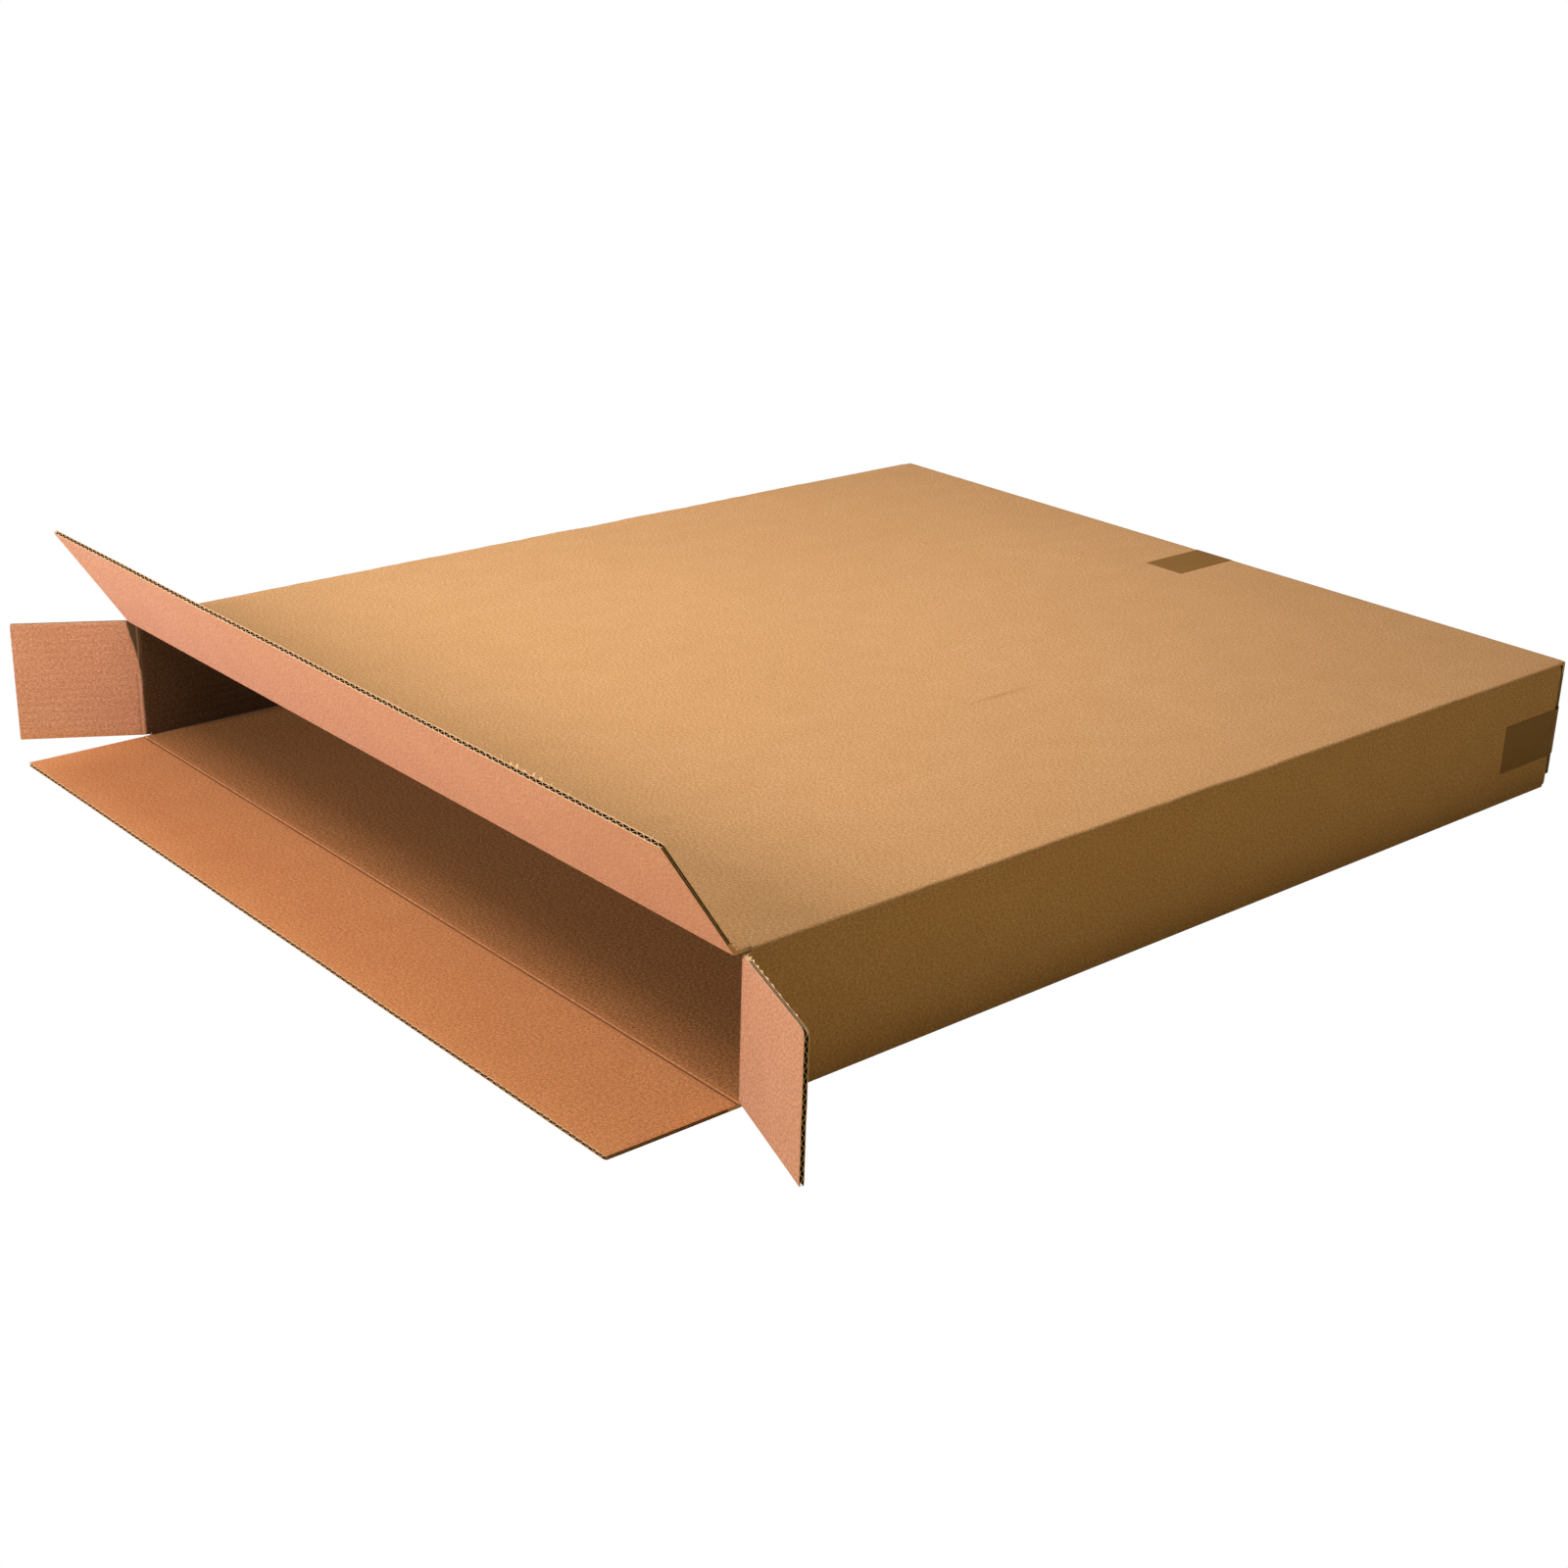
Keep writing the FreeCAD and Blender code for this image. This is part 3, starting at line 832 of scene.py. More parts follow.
    def surface(self) -> Surface:
        """The tube's faces: a grid of the section's points against rows along the carton.

        Returns:
            One closed slab. The tab's rows start further back than the panels' rows.
        """
        sizes = self.sizes
        outer, inner, on_sheet = self.section()
        rows = round((sizes.far - sizes.front) / self.row_step) + 1
        share = np.linspace(0.0, 1.0, rows)[:, None]
        before_tab = len(outer) - self.legs[-1] - self.turn_points
        on_tab = smoothstep(outer[:, 1], 1.0, 4.0) * (np.arange(len(outer)) > before_tab)
        start = sizes.front + self.tab_setback * on_tab[None, :]
        y = start + (sizes.far - self.tab_short * on_tab[None, :] - start) * share
        offset = self.settle(outer[None, :, 0], y, outer[None, :, 1])
        offset[:, on_tab > 0.0] = 0.0
        faces = []
        for line in (outer, inner):
            grid = np.empty(y.shape + (3,))
            grid[..., 0], grid[..., 1], grid[..., 2] = line[:, 0], y, line[:, 1]
            faces.append(grid + offset)
        blank = np.stack([np.broadcast_to(on_sheet, y.shape), y], axis=-1)
        made = Surface()
        made.add_slab(faces[0], faces[1], blank, (Side.OUTER, Side.INNER, Side.CUT))
        return made


class NodeTree:
    """The nodes of a material or of the surround, made by name and joined as they are made."""

    def __init__(self, owner: bpy.types.ID) -> None:
        """Starts with an empty tree.

        Args:
            owner: The material or world that the nodes belong to.
        """
        self.owner = owner
        owner.use_nodes = True
        self.tree = owner.node_tree
        self.tree.nodes.clear()

    @classmethod
    def material(cls, name: str) -> "NodeTree":
        """The empty tree of a new material."""
        return cls(bpy.data.materials.new(name))

    def add(self, kind: str, inputs: dict | None = None, **settings: object) -> bpy.types.Node:
        """Adds a node.

        Args:
            kind: The node's type name without the ShaderNode prefix.
            inputs: Values or other nodes' outputs, by the input's name or number.
            settings: The node's own properties.

        Returns:
            The node.
        """
        node = self.tree.nodes.new(f"ShaderNode{kind}")
        for key, value in settings.items():
            setattr(node, key, value)
        for key, value in (inputs or {}).items():
            if isinstance(value, Socket):
                self.tree.links.new(value, node.inputs[key])
            else:
                node.inputs[key].default_value = value
        return node

    def math(self, operation: str, first: object, second: object = 0.0, third: object = 0.0) -> Socket:
        """The result of a Math node on numbers or outputs."""
        return self.add("Math", {0: first, 1: second, 2: third}, operation=operation).outputs[0]

    def product(self, *factors: object) -> Socket:
        """All the factors, numbers or outputs, multiplied together."""
        result = factors[0]
        for factor in factors[1:]:
            result = self.math("MULTIPLY", result, factor)
        return result

    def noise(
        self, place: Socket, scale: tuple, detail: float, rough: float, shift: tuple = (0.0, 0.0, 0.0)
    ) -> Socket:
        """The height of a noise texture on a place.

        Args:
            place: The place, in metres.
            scale: How many times finer than a metre it is, in each direction.
            detail: How many finer layers it has.
            rough: How much each finer layer counts.
            shift: Where it starts.

        Returns:
            The height's output.
        """
        inputs = {"Vector": self.stretch(place, scale, shift), "Scale": 1.0, "Detail": detail}
        return self.add("TexNoise", {**inputs, "Roughness": rough}).outputs["Fac"]

    def spread(self, value: Socket, low: float, high: float, to_low: float, to_high: float) -> Socket:
        """A value moved from one range to another, held at the new range's ends."""
        inputs = {0: value, 1: low, 2: high, 3: to_low, 4: to_high}
        return self.add("MapRange", inputs).outputs[0]

    def stretch(self, place: Socket, scale: tuple, shift: tuple = (0.0, 0.0, 0.0)) -> Socket:
        """A place scaled along its own directions and shifted."""
        return self.add("Mapping", {"Vector": place, "Scale": scale, "Location": shift}).outputs[0]

    def tint(self, colour: object, factor: object, other: object, blend: str = "MIX") -> Socket:
        """A colour mixed with another.

        Args:
            colour: The colour's output, or red, green and blue.
            factor: How much of the other there is.
            other: The other colour.
            blend: How they are mixed.

        Returns:
            The mixed colour's output.
        """
        node = self.add("Mix", data_type="RGBA", blend_type=blend)
        for socket, value in ((node.inputs[0], factor), (node.inputs[6], colour), (node.inputs[7], other)):
            if isinstance(value, Socket):
                self.tree.links.new(value, socket)
            elif isinstance(value, (int, float)):
                socket.default_value = value
            else:
                socket.default_value = (*value, 1.0)
        return node.outputs[2]

    def seen_as(self, shader: bpy.types.Node, shown: bpy.types.Node) -> Socket:
        """A shader that the camera sees as another one."""
        ray = self.add("LightPath").outputs["Is Camera Ray"]
        return self.add("MixShader", {0: ray, 1: shader.outputs[0], 2: shown.outputs[0]}).outputs[0]

    def finish(self, colour: object, height: object, rough: float, specular: float) -> bpy.types.Material:
        """Ends a material's tree in a Principled shader.

        Args:
            colour: The base colour's output.
            height: The bump's height, in millimetres.
            rough: The roughness.
            specular: The specular level.

        Returns:
            The material.
        """
        bump = self.add("Bump", {"Strength": 1.0, "Distance": MM, "Height": height})
        shader = self.add("BsdfPrincipled", {
            "Base Color": colour,
            "Roughness": rough,
            "Specular IOR Level": specular,
            "Normal": bump.outputs[0],
        })
        self.add("OutputMaterial", {"Surface": shader.outputs[0]})
        return self.owner


def darker(colour: tuple, share: float) -> tuple:
    """The colour at a share of its strength."""
    return tuple(share * part for part in colour)


@dataclass(frozen=True)
class Smudge:
    """A faint brown mark on the top panel. Its places are metres on the flat sheet."""

    centre: tuple = (0.1975, 0.01)
    reach: tuple = (0.006, 0.05)
    strength: float = 0.35
    colour: tuple = (0.2, 0.07, 0.03)

    def draw(self, nodes: NodeTree, own: Socket, colour: Socket, grain: Socket) -> Socket:
        """Adds the mark to a colour, as an ellipse that is broken up by the grain.

        Args:
            nodes: The material's nodes.
            own: The place on the sheet.
            colour: The paper's colour.
            grain: The paper's grain.

        Returns:
            The colour with the mark.
        """
        scale = (*(1.0 / reach for reach in self.reach), 0.0)
        shift = (*(-place / reach for place, reach in zip(self.centre, self.reach)), 0.0)
        away = nodes.add("VectorMath", {0: nodes.stretch(own, scale, shift)}, operation="LENGTH")
        spot = nodes.spread(away.outputs["Value"], 0.2, 1.0, self.strength, 0.0)
        return nodes.tint(colour, nodes.product(spot, nodes.spread(grain, 0.4, 0.6, 0.4, 1.0)), self.colour)


@dataclass(frozen=True)
class CreaseShadeAndHighlight:
    """A line along a crease in the inner paper: a dark one stands partly for the crushed score and partly
    for painted shade, a pale one is a painted highlight on the ridge. Its places are metres on the flat
    sheet.
    """

    place: float
    reach: float
    depth: float
    left: float
    right: float
    colour: tuple = (0.12, 0.05, 0.02)

    def draw(self, nodes: NodeTree, colour: Socket, sideways: Socket, along: Socket) -> Socket:
        """Adds the line's painted shade and highlight to a colour: depth * (1 - |along - place| / reach),
        from left to right.

        Args:
            nodes: The material's nodes.
            colour: The paper's colour.
            sideways: The sheet's x.
            along: The sheet's y.

        Returns:
            The colour with the line.
        """
        gap = nodes.math("ABSOLUTE", nodes.math("SUBTRACT", along, self.place))
        mark = nodes.product(
            nodes.spread(gap, 0.0, self.reach, self.depth, 0.0),
            nodes.math("GREATER_THAN", sideways, self.left),
            nodes.math("LESS_THAN", sideways, self.right),
        )
        return nodes.tint(colour, mark, self.colour)


@dataclass(frozen=True)
class FlapPaintedLight:
    """A painted tone of light and shade over the inside of one standing flap. It fades in and out between
    pairs of sheet x.
    """

    fade_in: tuple
    fade_out: tuple
    tone: tuple
    crease: tuple = (-0.5165, -0.5145)

    def lay(self, nodes: NodeTree, colour: Socket, sideways: Socket, along: Socket) -> Socket:
        """Multiplies a colour by the painted light and shade on the flap.

        Args:
            nodes: The material's nodes.
            colour: The paper's colour.
            sideways: The sheet's x.
            along: The sheet's y.

        Returns:
            The colour with the flap's painted light and shade.
        """
        zone = nodes.product(
            nodes.spread(sideways, *self.fade_in, 0.0, 1.0),
            nodes.spread(sideways, *self.fade_out, 1.0, 0.0),
            nodes.spread(along, *self.crease, 1.0, 0.0),
        )
        return nodes.tint(colour, zone, self.tone, "MULTIPLY")


@dataclass(frozen=True)
class InsidePaintedLight:
    """Painted shade and light on the inner paper over the sheet: shade inside the box, on its left wall and
    along its folds, warm light on its bottom, light and shade on the standing flaps and at the creases. Its
    places are metres on the flat sheet.
    """

    # box: painted shade over the inside of the box; slow_fade and quick_fade bring it in from the open end.
    box: tuple = (0.49, 0.485, 0.34)
    # left_wall_shade: painted shade on the left inner wall, less red and bluer.
    left_wall_shade: tuple = (0.56, 0.86, 1.15)
    # crush: the crushed wedge before the left wall's crease, darker partly as crushed paper and partly as
    # painted shade.
    crush: tuple = (0.42, 0.40, 0.30)
    # bottom: painted warm light on the inside of the bottom panel and the bottom flap.
    bottom: tuple = (1.07, 0.945, 0.62)
    # fold: painted shade along the fold between the left wall and the bottom.
    fold: tuple = (0.02, 0.01, 0.006)
    slow_fade: tuple = (-0.515, -0.455, 0.0, 0.55)
    quick_fade: tuple = (-0.5165, -0.508, 0.0, 0.45)
    bottom_fade: tuple = (-0.60, -0.57, 1.0, 0.0)
    fold_fade: tuple = (-0.589, -0.580, 0.75, 0.0)
    wall_front: tuple = (-0.5128, -0.5112, 0.0, 1.0)
    wall_top: tuple = (0.4585, 0.4595, 0.0, 1.0)
    wall_foot: tuple = (0.589, 0.590, 1.0, 0.0)
    wedge: tuple = (0.4595, 0.517, 0.0115, 0.0)
    right_setback: float = 0.005
    flaps: tuple = (
        # A painted highlight, lighter and pinker, on the top flap's inside, strongest at its left end.
        FlapPaintedLight((-0.4595, -0.4585), (-0.35, 0.42), (1.08, 1.13, 1.32)),
        # Painted shade over the right flap's inside.
        FlapPaintedLight((0.4585, 0.4595), (0.7, 0.71), (0.83, 0.83, 0.81)),
    )
    lines: tuple = (
        # A dark line at the bottom crease: partly the crushed score, partly painted shade.
        CreaseShadeAndHighlight(-0.5164, 0.0016, 1.0, -2.0, -0.6),
        # A dark line along the left crease's lower half: partly the crushed crease, partly painted shade.
        CreaseShadeAndHighlight(-0.5166, 0.0014, 0.4, -0.6, -0.52, (0.2, 0.09, 0.035)),
        # Painted highlights on the ridge beside the left crease, along its lower and its upper half.
        CreaseShadeAndHighlight(-0.5142, 0.0016, 0.35, -0.6, -0.52, (0.85, 0.55, 0.36)),
        CreaseShadeAndHighlight(-0.5138, 0.0012, 0.35, -0.52, -0.4, (0.62, 0.36, 0.19)),
        # A dark band at the right crease: partly the crushed crease, partly painted shade.
        CreaseShadeAndHighlight(-0.5125, 0.004, 0.4, 0.4, 0.6),
    )

    def lay(self, nodes: NodeTree, own: Socket, colour: Socket, speckle: Socket, deep: tuple) -> Socket:
        """Multiplies a colour by the painted shade of the box's inside and its walls, the painted warm light
        on its bottom, and the painted light and shade on the flaps and creases.

        Args:
            nodes: The material's nodes.
            own: The place on the sheet.
            colour: The paper's colour.
            speckle: The paper's speckle, which is darkened further inside the box where the painted shade
                lies.
            deep: The paper's darker colour.

        Returns:
            The colour with the painted shade and light.
        """
        place = nodes.add("SeparateXYZ", {0: own})
        sideways, along = place.outputs[0], place.outputs[1]
        wall, crush = self.walls(nodes, sideways, along)
        # The painted shade inside the box: it fades in from the open end and covers the side walls.
        slow, quick = nodes.spread(along, *self.slow_fade), nodes.spread(along, *self.quick_fade)
        inside = nodes.math("MAXIMUM", nodes.math("ADD", slow, quick), wall)
        # Painted shade on the left inner wall.
        left_wall_shade = nodes.product(wall, nodes.math("LESS_THAN", sideways, 0.0))
        # Painted shade along the left wall's fold into the bottom.
        fold = nodes.product(left_wall_shade, nodes.spread(sideways, *self.fold_fade))
        # Darker speckle where the painted shade lies inside the box.
        flecks_in_painted_shade = nodes.product(inside, nodes.spread(speckle, 0.38, 0.6, 0.75, 0.0))
        colour = nodes.tint(colour, inside, self.box, "MULTIPLY")
        colour = nodes.tint(colour, left_wall_shade, self.left_wall_shade, "MULTIPLY")
        # The crushed wedge: partly crushed paper, partly painted shade.
        colour = nodes.tint(colour, crush, self.crush, "MULTIPLY")
        colour = nodes.tint(colour, fold, self.fold)
        colour = nodes.tint(colour, flecks_in_painted_shade, darker(deep, 0.2))
        # Painted warm light on the bottom's inside.
        colour = nodes.tint(colour, nodes.spread(sideways, *self.bottom_fade), self.bottom, "MULTIPLY")
        # Painted light and shade on the standing flaps.
        for flap in self.flaps:
            colour = flap.lay(nodes, colour, sideways, along)
        # Painted shade and highlights along the creases.
        for line in self.lines:
            colour = line.draw(nodes, colour, sideways, along)
        return colour

    def walls(self, nodes: NodeTree, sideways: Socket, along: Socket) -> tuple[Socket, Socket]:
        """Where the painted shade of the side walls' inside lies, and the crushed wedge before the left
        wall's crease, which is darkened partly as crushed paper and partly as painted shade.

        The wedge is widest at the left wall's top edge and runs out at half its height.

        Args:
            nodes: The material's nodes.
            sideways: The sheet's x.
            along: The sheet's y.

        Returns:
            Two masks: 1 on a side wall and the wedge, and 1 on the wedge alone.
        """
        level = nodes.math("ABSOLUTE", sideways)
        on_left = nodes.math("LESS_THAN", sideways, 0.0)
        setback = nodes.math("MULTIPLY_ADD", on_left, self.right_setback, -self.right_setback)
        wedge = nodes.product(nodes.spread(level, *self.wedge), on_left)
        before = nodes.spread(nodes.math("ADD", along, wedge), *self.wall_front)
        behind = nodes.spread(nodes.math("ADD", along, setback), *self.wall_front)
        span = nodes.product(nodes.spread(level, *self.wall_top), nodes.spread(level, *self.wall_foot))
        wall = nodes.product(nodes.math("MAXIMUM", behind, nodes.product(before, on_left)), span)
        return wall, nodes.product(nodes.math("SUBTRACT", wall, behind), span)


@dataclass(frozen=True)
class KraftPaper:
    """A liner's paper: brown wood fibre with clouds, flecks and the flutes' faint washboard; the inner one
    also carries painted shade and light.
    """

    name: str
    colour: tuple
    deep: tuple
    pale: tuple
    shift: float = 0.0
    washboard: float = 0.03
    inside: InsidePaintedLight | None = None
    smudge: Smudge | None = None
    speckle: float = 0.62
    rough: float = 0.92
    specular: float = 0.22

    def material(self) -> bpy.types.Material:
        """Builds the material on the sheet's own coordinates, in metres.

        Returns:
            The material.
        """
        nodes = NodeTree.material(self.name)
        own = nodes.add("Attribute", attribute_name=BLANK).outputs["Vector"]
        sheet = nodes.stretch(own, (1.0, 1.0, 1.0), (self.shift, self.shift, 0.0))
        fibres = nodes.noise(sheet, (900.0, 260.0, 1.0), 3.0, 0.65)
        grain = nodes.noise(sheet, (420.0, 420.0, 1.0), 4.0, 0.7)
        clouds = nodes.noise(sheet, (34.0, 22.0, 1.0), 4.0, 0.6)
        drift = nodes.noise(sheet, (3.1, 2.3, 1.0), 2.0, 0.5)
        flecks = nodes.noise(sheet, (700.0, 300.0, 1.0), 1.0, 0.4, (7.0, 3.0, 0.0))
        speckle = nodes.noise(sheet, (560.0, 380.0, 1.0), 2.0, 0.8, (3.0, 9.0, 0.0))
        across = nodes.add("SeparateXYZ", {0: sheet}).outputs[0]
        wave = nodes.math("SINE", nodes.product(across, 2.0 * math.pi / (BOARD.pitch * MM)))

        colour = self.deep
        for pattern, low, high, least, most, other in (
            (fibres, 0.3, 0.7, 0.0, 1.0, self.colour),
            (grain, 0.40, 0.66, 0.0, 0.8, self.pale),
            (clouds, 0.35, 0.68, 0.0, 0.35, self.deep),
            (drift, 0.35, 0.7, 0.0, 0.3, self.deep),
            (flecks, 0.69, 0.78, 0.0, 0.55, darker(self.deep, 0.45)),
            (wave, -1.0, 1.0, 0.0, 0.07, self.deep),
            (speckle, 0.38, 0.6, self.speckle, 0.0, darker(self.deep, 0.5)),
        ):
            colour = nodes.tint(colour, nodes.spread(pattern, low, high, least, most), other)
        # The inner paper's painted shade and light: shade inside the box, warm light on its bottom, light
        # and shade on the standing flaps and at the creases.
        if self.inside:
            colour = self.inside.lay(nodes, own, colour, speckle, self.deep)
        if self.smudge:
            colour = self.smudge.draw(nodes, own, colour, grain)

        height = nodes.product(fibres, 0.05)
        for pattern, depth in ((speckle, 0.035), (clouds, 0.12), (wave, self.washboard)):
            height = nodes.math("MULTIPLY_ADD", pattern, depth, height)
        return nodes.finish(colour, height, self.rough, self.specular)


@dataclass(frozen=True)
class TornPaper:
    """A cut edge or the medium: plain fibre, drawn on the object's own coordinates."""

    name: str
    colour: tuple
    deep: tuple
    scale: float = 900.0

    def material(self) -> bpy.types.Material:
        """Builds the material.

        Returns:
            The material.
        """
        nodes = NodeTree.material(self.name)
        place = nodes.add("TexCoord").outputs["Object"]
        fibres = nodes.noise(place, (self.scale,) * 3, 3.0, 0.7)
        clouds = nodes.noise(place, (60.0,) * 3, 2.0, 0.5)
        colour = nodes.tint(self.deep, nodes.spread(fibres, 0.32, 0.68, 0.0, 1.0), self.colour)
        colour = nodes.tint(colour, nodes.spread(clouds, 0.4, 0.7, 0.0, 0.3), self.deep)
        return nodes.finish(colour, nodes.product(fibres, 0.08), 0.95, 0.15)


@dataclass(frozen=True)
class GummedTape:
    """Brown paper tape: smoother and darker than the board, with faint long wrinkles."""

    name: str
    colour: tuple
    deep: tuple

    def material(self) -> bpy.types.Material:
        """Builds the material on the object's own coordinates.

        Returns:
            The material.
        """
        nodes = NodeTree.material(self.name)
        place = nodes.add("TexCoord").outputs["Object"]
        fibres = nodes.noise(place, (700.0,) * 3, 3.0, 0.6)
        clouds = nodes.noise(place, (70.0, 50.0, 60.0), 3.0, 0.55)
        wrinkles = nodes.noise(place, (45.0, 160.0, 160.0), 2.0, 0.5)
        colour = nodes.tint(self.deep, nodes.spread(fibres, 0.3, 0.7, 0.2, 1.0), self.colour)
        colour = nodes.tint(colour, nodes.spread(clouds, 0.4, 0.7, 0.0, 0.45), self.deep)
        height = nodes.math("MULTIPLY_ADD", wrinkles, 0.12, nodes.product(fibres, 0.02))
        return nodes.finish(colour, height, 0.62, 0.35)


@dataclass
class Finishes:
    """The carton's materials, each made once."""

    outer: bpy.types.Material
    inner: bpy.types.Material
    cut: bpy.types.Material
    medium: bpy.types.Material
    tape: bpy.types.Material

    @classmethod
    def make(cls) -> "Finishes":
        """Builds all five materials.

        Returns:
            The carton's finishes.
        """
        outer = KraftPaper(
            "kraft_outer", (0.62, 0.335, 0.148), (0.50, 0.255, 0.098), (0.70, 0.405, 0.205), smudge=Smudge()
        )
        # The inner paper carries painted shade and light.
        inner = KraftPaper(
            "kraft_inner", (0.69, 0.35, 0.215), (0.55, 0.25, 0.14), (0.78, 0.435, 0.285),
            shift=3.7, washboard=0.06, inside=InsidePaintedLight(),
        )
        cut = TornPaper("kraft_cut_edge", (0.74, 0.50, 0.30), (0.46, 0.27, 0.13))
        # The medium's brown is darkened well below the paper's own, to paint the shade inside the flute
        # holes; the liners' insides in the hollow share it.
        medium = TornPaper("kraft_medium_with_painted_shade", (0.10, 0.052, 0.024), (0.055, 0.027, 0.012))
        tape = GummedTape("gummed_tape", (0.245, 0.118, 0.029), (0.2, 0.094, 0.022))
        return cls(*(finish.material() for finish in (outer, inner, cut, medium, tape)))

    @property
    def board(self) -> list:
        """The board's materials in the order of Side."""
        return [self.outer, self.inner, self.cut, self.medium]


@dataclass
class Carton:
    """The whole carton: the tube, its far flaps, its open flaps and the tape."""

    sizes: CartonSizes
    finishes: Finishes
    blend_reach: float = 5.0

    def build(self) -> None:
        """Makes every piece, in order; the tube and the far flaps ride on the carton's body."""
        self.build_tube()
        self.build_far_flaps()
        self.build_open_flaps()
        self.dress_tapes()

    def report(self, piece: bpy.types.Object) -> None:
        """Logs a finished piece's name and its number of faces."""
        log.info("%s: %d faces", piece.name, len(piece.data.polygons))

    def fix(self, piece: bpy.types.Object) -> None:
        """Makes a piece of board ride on the carton's body, and reports it."""
        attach(piece, "carton")
        self.report(piece)

    def build_tube(self) -> None:
        """The four panels with the glued tab."""
        piece = Tube(self.sizes).surface().build("carton_tube", self.finishes.board)
        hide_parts("carton_shell")
        self.fix(piece)

    def panel_end(self, out: tuple, y: float) -> dict:
        """Where and how a flap is joined to a panel.

        Args:
            out: The direction out of the box at the panel.
            y: Where the flap's crease lies.

        Returns:
            The middle of the crease, its direction, out and half its length, by their names in Leaf.
        """
        sizes = self.sizes
        on_side = out[0] != 0
        panel = sizes.outer_x if on_side else max(out[2], 0) * sizes.top
        height = 0.5 * (sizes.side_low + sizes.side_high) if on_side else 0.0
        direction = np.array(out, float)
        return {
            "origin": np.array([0.0, y, height]) + direction * panel,
            "across": np.array([0.0, 0.0, 1.0] if on_side else [1.0, 0.0, 0.0]),
            "out": direction,
            "half": 0.5 * (sizes.side_high - sizes.side_low) if on_side else sizes.slot_x,
        }

    def far_leaf(self, name: str, layer: int, out: tuple, seed: int) -> Leaf:
        """One of the four flaps folded in at the closed end.

        Args:
            name: The piece's name.
            layer: How many layers of board lie inside it.
            out: The direction out of the box at its panel.
            seed: Sets its unevenness.

        Returns:
            The flap, ready to make.
        """
        sizes = self.sizes
        end = self.panel_end(out, sizes.far)
        reach = BOARD.thickness * (layer + 1) + sizes.layer_gap * layer
        return Leaf(
            name=name,
            **end,
            away=np.array([0.0, 1.0, 0.0]),
            track=FarFold(reach).track(sizes),
            blank_start=(out[0] * (sizes.outer_x + 0.5 * sizes.top), sizes.far),
            blank_turn=(-out[0] or 1.0, 1.0),
            columns=max(24, int(end["half"] / 2.5)),
            ragged=0.2,
            seed=seed,
        )

    def build_far_flaps(self) -> None:
        """The closed end: the side flaps, the bottom flap over them and the top flap over all."""
        for leaf in (
            self.far_leaf("far_left_flap", 0, (-1, 0, 0), 101),
            self.far_leaf("far_right_flap", 0, (1, 0, 0), 102),
            self.far_leaf("far_bottom_flap", 1, (0, 0, -1), 103),
            self.far_leaf("far_top_flap", 2, (0, 0, 1), 104),
        ):
            self.fix(leaf.surface().build(leaf.name, self.finishes.board))

    def open_flap(
        self, node: str, crease_y: float, out: tuple, crease: Crease, seed: int,
        corner: float = 1.0, tufts: tuple = (), fringe: tuple = (),
    ) -> None:
        """One flap of the open end, bent at its crease between the carton's body and its own.

        Args:
            node: The CAD node that the flap stands for.
            crease_y: Where its crease lies.
            out: The direction out of the box at its panel.
            crease: How it bends.
            seed: Sets its unevenness.
            corner: The radius that blunts its outer corner at the crease's far end.
            tufts: The slivers along its cut edge.
            fringe: The slivers along its knife-cut end.
        """
        sizes = self.sizes
        flat = out[0] == 0
        start = out[0] * (sizes.outer_x + 0.5 * sizes.top)
        start += min(out[2], 0) * (2 * sizes.outer_x + sizes.top)
        leaf = Leaf(
            name=f"{node}_board",
            **self.panel_end(out, crease_y),
            away=np.array([0.0, -1.0, 0.0]),
            track=crease.track(sizes, sizes.front - crease_y),
            blank_start=(start, crease_y),
            blank_turn=(out[2] - out[0], -1.0),
            columns=460 if flat else 96,
            warp=1.1 if flat else 0.3,
            wander=crease.wander,
            corner=corner,
            tufts=tufts,
            fringe=fringe,
            seed=seed,
        )
        piece = leaf.surface().build(leaf.name, self.finishes.board)
        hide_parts(node)
        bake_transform(piece)
        self.report(piece)

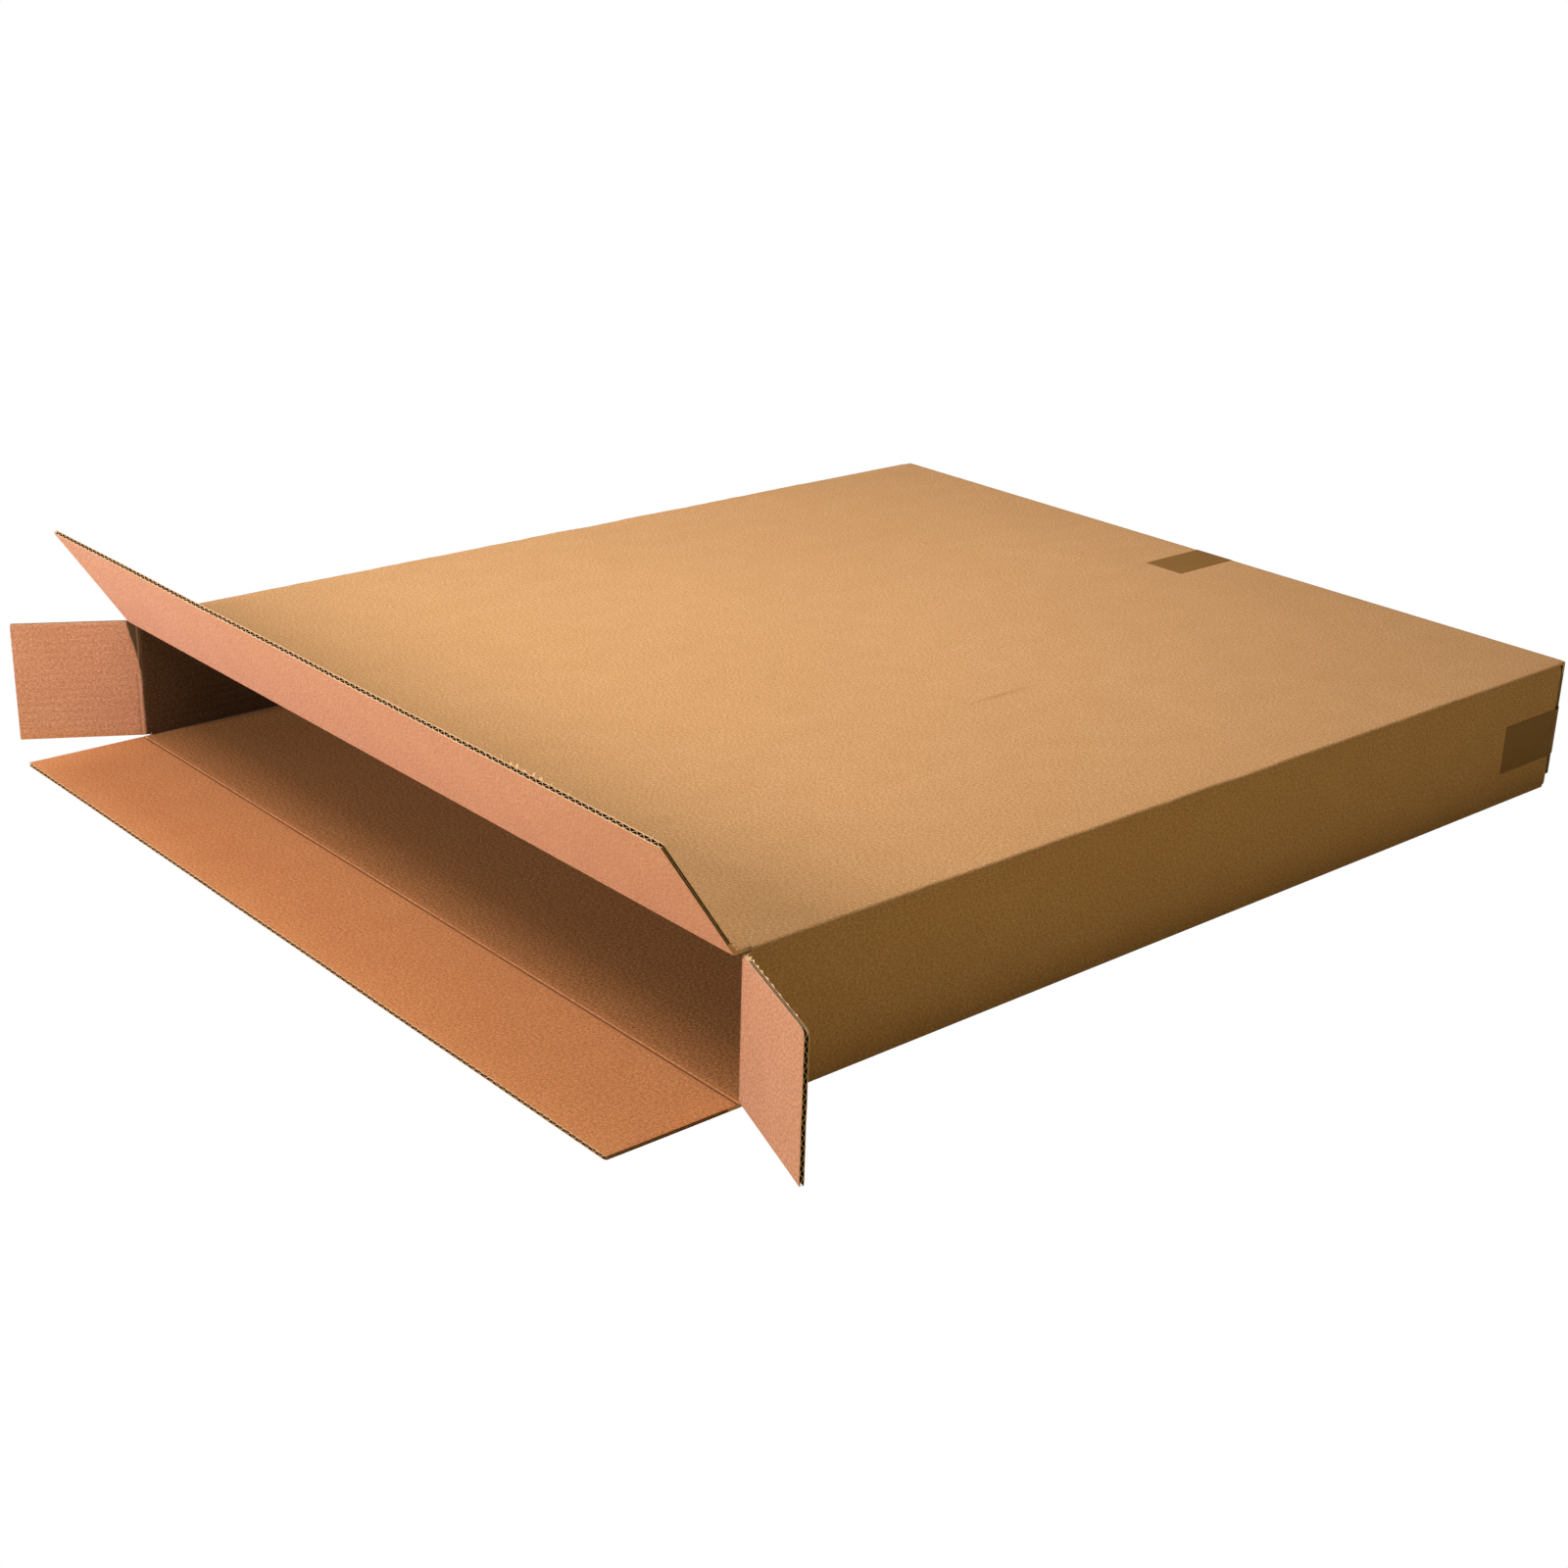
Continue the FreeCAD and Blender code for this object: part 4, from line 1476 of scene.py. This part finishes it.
    def build_open_flaps(self) -> None:
        """The open end's four flaps, at the angles where they rest."""
        sizes = self.sizes
        torn = (
            Sliver(271.0, 5.0, 1.6, 0.5, -1.2),
            Sliver(281.0, 2.2, 6.0, 0.7, 0.6),
            Sliver(289.0, 2.8, 5.0, 0.9, -0.8),
            Sliver(298.0, 1.8, 8.0, 0.6, 0.5),
            Sliver(309.0, 3.0, 5.0, 0.8, 1.0),
            Sliver(318.0, 2.0, 7.0, 0.9, -0.5),
            Sliver(331.0, 2.6, 3.0, 0.6, 0.9),
            Sliver(352.0, 2.0, 3.0, 0.5, -0.6),
            Sliver(404.0, 2.2, 2.4, 0.4, 0.8),
            Sliver(447.0, 3.2, 2.0, 0.5, 1.2),
            Sliver(-62.0, 1.8, 2.2, 0.5, 0.6),
            Sliver(118.0, 1.6, 3.0, 0.6, -0.7),
        )
        curls = (
            Sliver(1.5, 4.6, 2.2, 0.5, 1.4),
            Sliver(4.5, 3.4, 2.4, 0.9, -1.2),
            Sliver(8.5, 2.0, 3.2, 0.6, 0.8),
            Sliver(14.0, 1.0, 5.0, 0.5, 0.5),
        )
        frayed = (
            Sliver(5.0, 1.4, 4.0, 0.9, 0.6),
            Sliver(11.0, 1.3, 6.0, 0.7, -0.7),
            Sliver(19.0, 1.2, 7.0, 0.6, 0.8),
            Sliver(28.0, 1.1, 8.0, 0.6, -0.5),
            Sliver(38.0, 1.1, 9.0, 0.5, 0.7),
            Sliver(50.0, 1.0, 10.0, 0.5, -0.6),
            Sliver(63.0, 0.8, 9.0, 0.5, 0.6),
            Sliver(78.0, 0.7, 8.0, 0.5, 0.5),
            Sliver(95.0, 0.9, 7.0, 0.6, -0.6),
        )
        steep, wide = Crease(turn=56.5), Crease(turn=70.0)
        flat = Crease(turn=0.0, reach=6.0, points=33, score=0.3, ridge=0.3)
        soft = Crease(turn=30.0, reach=2.8, wander=0.8)
        side = sizes.side_crease
        self.open_flap("top_flap", sizes.top_crease, (0, 0, 1), steep, 201, tufts=torn, fringe=curls)
        self.open_flap("bottom_flap", sizes.bottom_crease, (0, 0, -1), flat, 202)
        self.open_flap("left_flap", side, (-1, 0, 0), soft, 203)
        self.open_flap("right_flap", side, (1, 0, 0), wide, 204, corner=6.5, fringe=frayed)

    def dress_tapes(self) -> None:
        """Gives both strips of tape their finish."""
        for node in ("seam_tape", "cross_tape"):
            tape = frame["nodes"][node]
            tape.data.materials.clear()
            tape.data.materials.append(self.finishes.tape)
            self.report(tape)


@dataclass(frozen=True)
class CameraFit:
    """The photograph's viewpoint. Angles are in degrees and lengths in millimetres."""

    azimuth: float = 48.55
    elevation: float = 22.11
    roll: float = 1.77
    distance: float = 2346.0
    aside: float = -58.27
    above: float = -21.55
    focal_pixels: float = 2429.31
    frame_pixels: float = 1600.0
    sensor: float = 36.0

    def make(self) -> bpy.types.Object:
        """Makes the camera and the scene's choice of it.

        Its back direction is (sin a cos e, -cos a cos e, sin e), and it is moved aside and above in its
        own plane.

        Returns:
            The camera.
        """
        azimuth, elevation, roll = (math.radians(v) for v in (self.azimuth, self.elevation, self.roll))
        back = Vector((
            math.sin(azimuth) * math.cos(elevation),
            -math.cos(azimuth) * math.cos(elevation),
            math.sin(elevation),
        ))
        level = Vector((0.0, 0.0, 1.0)).cross(back).normalized()
        upright = back.cross(level)
        right = level * math.cos(roll) + upright * math.sin(roll)
        up = upright * math.cos(roll) - level * math.sin(roll)
        place = (back * self.distance + right * self.aside + up * self.above) * MM
        data = bpy.data.cameras.new("camera")
        data.sensor_width = self.sensor
        data.lens = self.focal_pixels / self.frame_pixels * self.sensor
        data.clip_end = 200.0
        data.dof.use_dof = False
        camera = bpy.data.objects.new("camera", data)
        turned = Matrix((right, up, back)).transposed().to_4x4()
        camera.matrix_world = Matrix.Translation(place) @ turned
        bpy.context.scene.collection.objects.link(camera)
        bpy.context.scene.camera = camera
        return camera


@dataclass(frozen=True)
class Softbox:
    """A large rectangular light that looks at the carton."""

    name: str
    place: tuple
    target: tuple
    size: tuple
    power: float
    colour: tuple = (1.0, 1.0, 1.0)

    def make(self) -> bpy.types.Object:
        """Makes the light.

        Returns:
            The light's object.
        """
        data = bpy.data.lights.new(self.name, "AREA")
        data.shape = "RECTANGLE"
        data.size, data.size_y = self.size
        data.energy = self.power
        data.color = self.colour
        light = bpy.data.objects.new(self.name, data)
        aim = Vector(self.target) - Vector(self.place)
        turn = aim.to_track_quat("-Z", "Y").to_matrix().to_4x4()
        light.matrix_world = Matrix.Translation(self.place) @ turn
        bpy.context.scene.collection.objects.link(light)
        return light


@dataclass
class Studio:
    """A white floor and surround with soft light from the carton's open end."""

    floor_side: float = 80.0
    floor_bounce: tuple = (0.72, 0.62, 0.36)
    surround: tuple = (1.0, 0.86, 0.62)
    surround_strength: float = 0.02
    lights: tuple = (
        Softbox(
            "overhead_softbox", (-0.3, -0.06, 1.45), (-0.2, -0.03, 0.0), (0.9, 1.1), 22.5, (0.97, 0.98, 0.96)
        ),
        Softbox(
            "front_softbox", (-0.4, -2.95, 1.35), (-0.1, -0.45, 0.1), (0.8, 0.8), 80.0, (1.04, 0.985, 0.97)
        ),
        Softbox("low_softbox", (-1.6, -1.9, 0.5), (-0.2, -0.5, 0.1), (0.7, 0.5), 8.5, (1.0, 0.98, 1.3)),
        Softbox("flap_softbox", (0.35, -1.15, 1.3), (0.3, -0.64, 0.0), (1.0, 0.5), 5.0, (1.0, 0.93, 0.7)),
        Softbox("side_softbox", (2.6, 0.4, 0.8), (0.46, 0.0, 0.06), (1.2, 0.6), 6.8, (1.0, 0.98, 0.58)),
    )

    def make(self) -> None:
        """Makes the floor, the surround and the lights, and sets plain colour handling."""
        self.make_floor()
        self.make_surround()
        for light in self.lights:
            light.make()
        settings = bpy.context.scene.view_settings
        settings.view_transform = "Standard"
        settings.look = "None"
        settings.exposure = 0.0
        settings.gamma = 1.0

    def make_floor(self) -> None:
        """A wide floor that returns warm light and that the camera sees as plain white."""
        half = 0.5 * self.floor_side
        mesh = bpy.data.meshes.new("floor")
        corners = [(-half, -half, 0.0), (half, -half, 0.0), (half, half, 0.0), (-half, half, 0.0)]
        mesh.from_pydata(corners, [], [(0, 1, 2, 3)])
        floor = bpy.data.objects.new("floor", mesh)
        floor.location.z = -0.0005
        bpy.context.scene.collection.objects.link(floor)
        nodes = NodeTree.material("white_floor")
        matt = nodes.add("BsdfDiffuse", {"Color": (*self.floor_bounce, 1.0)})
        white = nodes.add("Emission", {"Color": (1.0, 1.0, 1.0, 1.0), "Strength": 1.0})
        nodes.add("OutputMaterial", {"Surface": nodes.seen_as(matt, white)})
        mesh.materials.append(nodes.owner)

    def make_surround(self) -> None:
        """A surround that is white to look at and gives a dim warm light."""
        nodes = NodeTree(bpy.data.worlds.new("surround"))
        warm = {"Color": (*self.surround, 1.0), "Strength": self.surround_strength}
        white = {"Color": (1.0, 1.0, 1.0, 1.0), "Strength": 1.0}
        dim, bright = (nodes.add("Background", inputs) for inputs in (warm, white))
        nodes.add("OutputWorld", {"Surface": nodes.seen_as(dim, bright)})
        bpy.context.scene.world = nodes.owner


def main() -> None:
    """Builds the camera, the carton and the studio, in that order."""
    logging.basicConfig(level=logging.INFO, format="%(name)s %(message)s")
    CameraFit().make()
    Carton(CartonSizes.from_frame(), Finishes.make()).build()
    Studio().make()


if __name__ == "__main__":
    main()
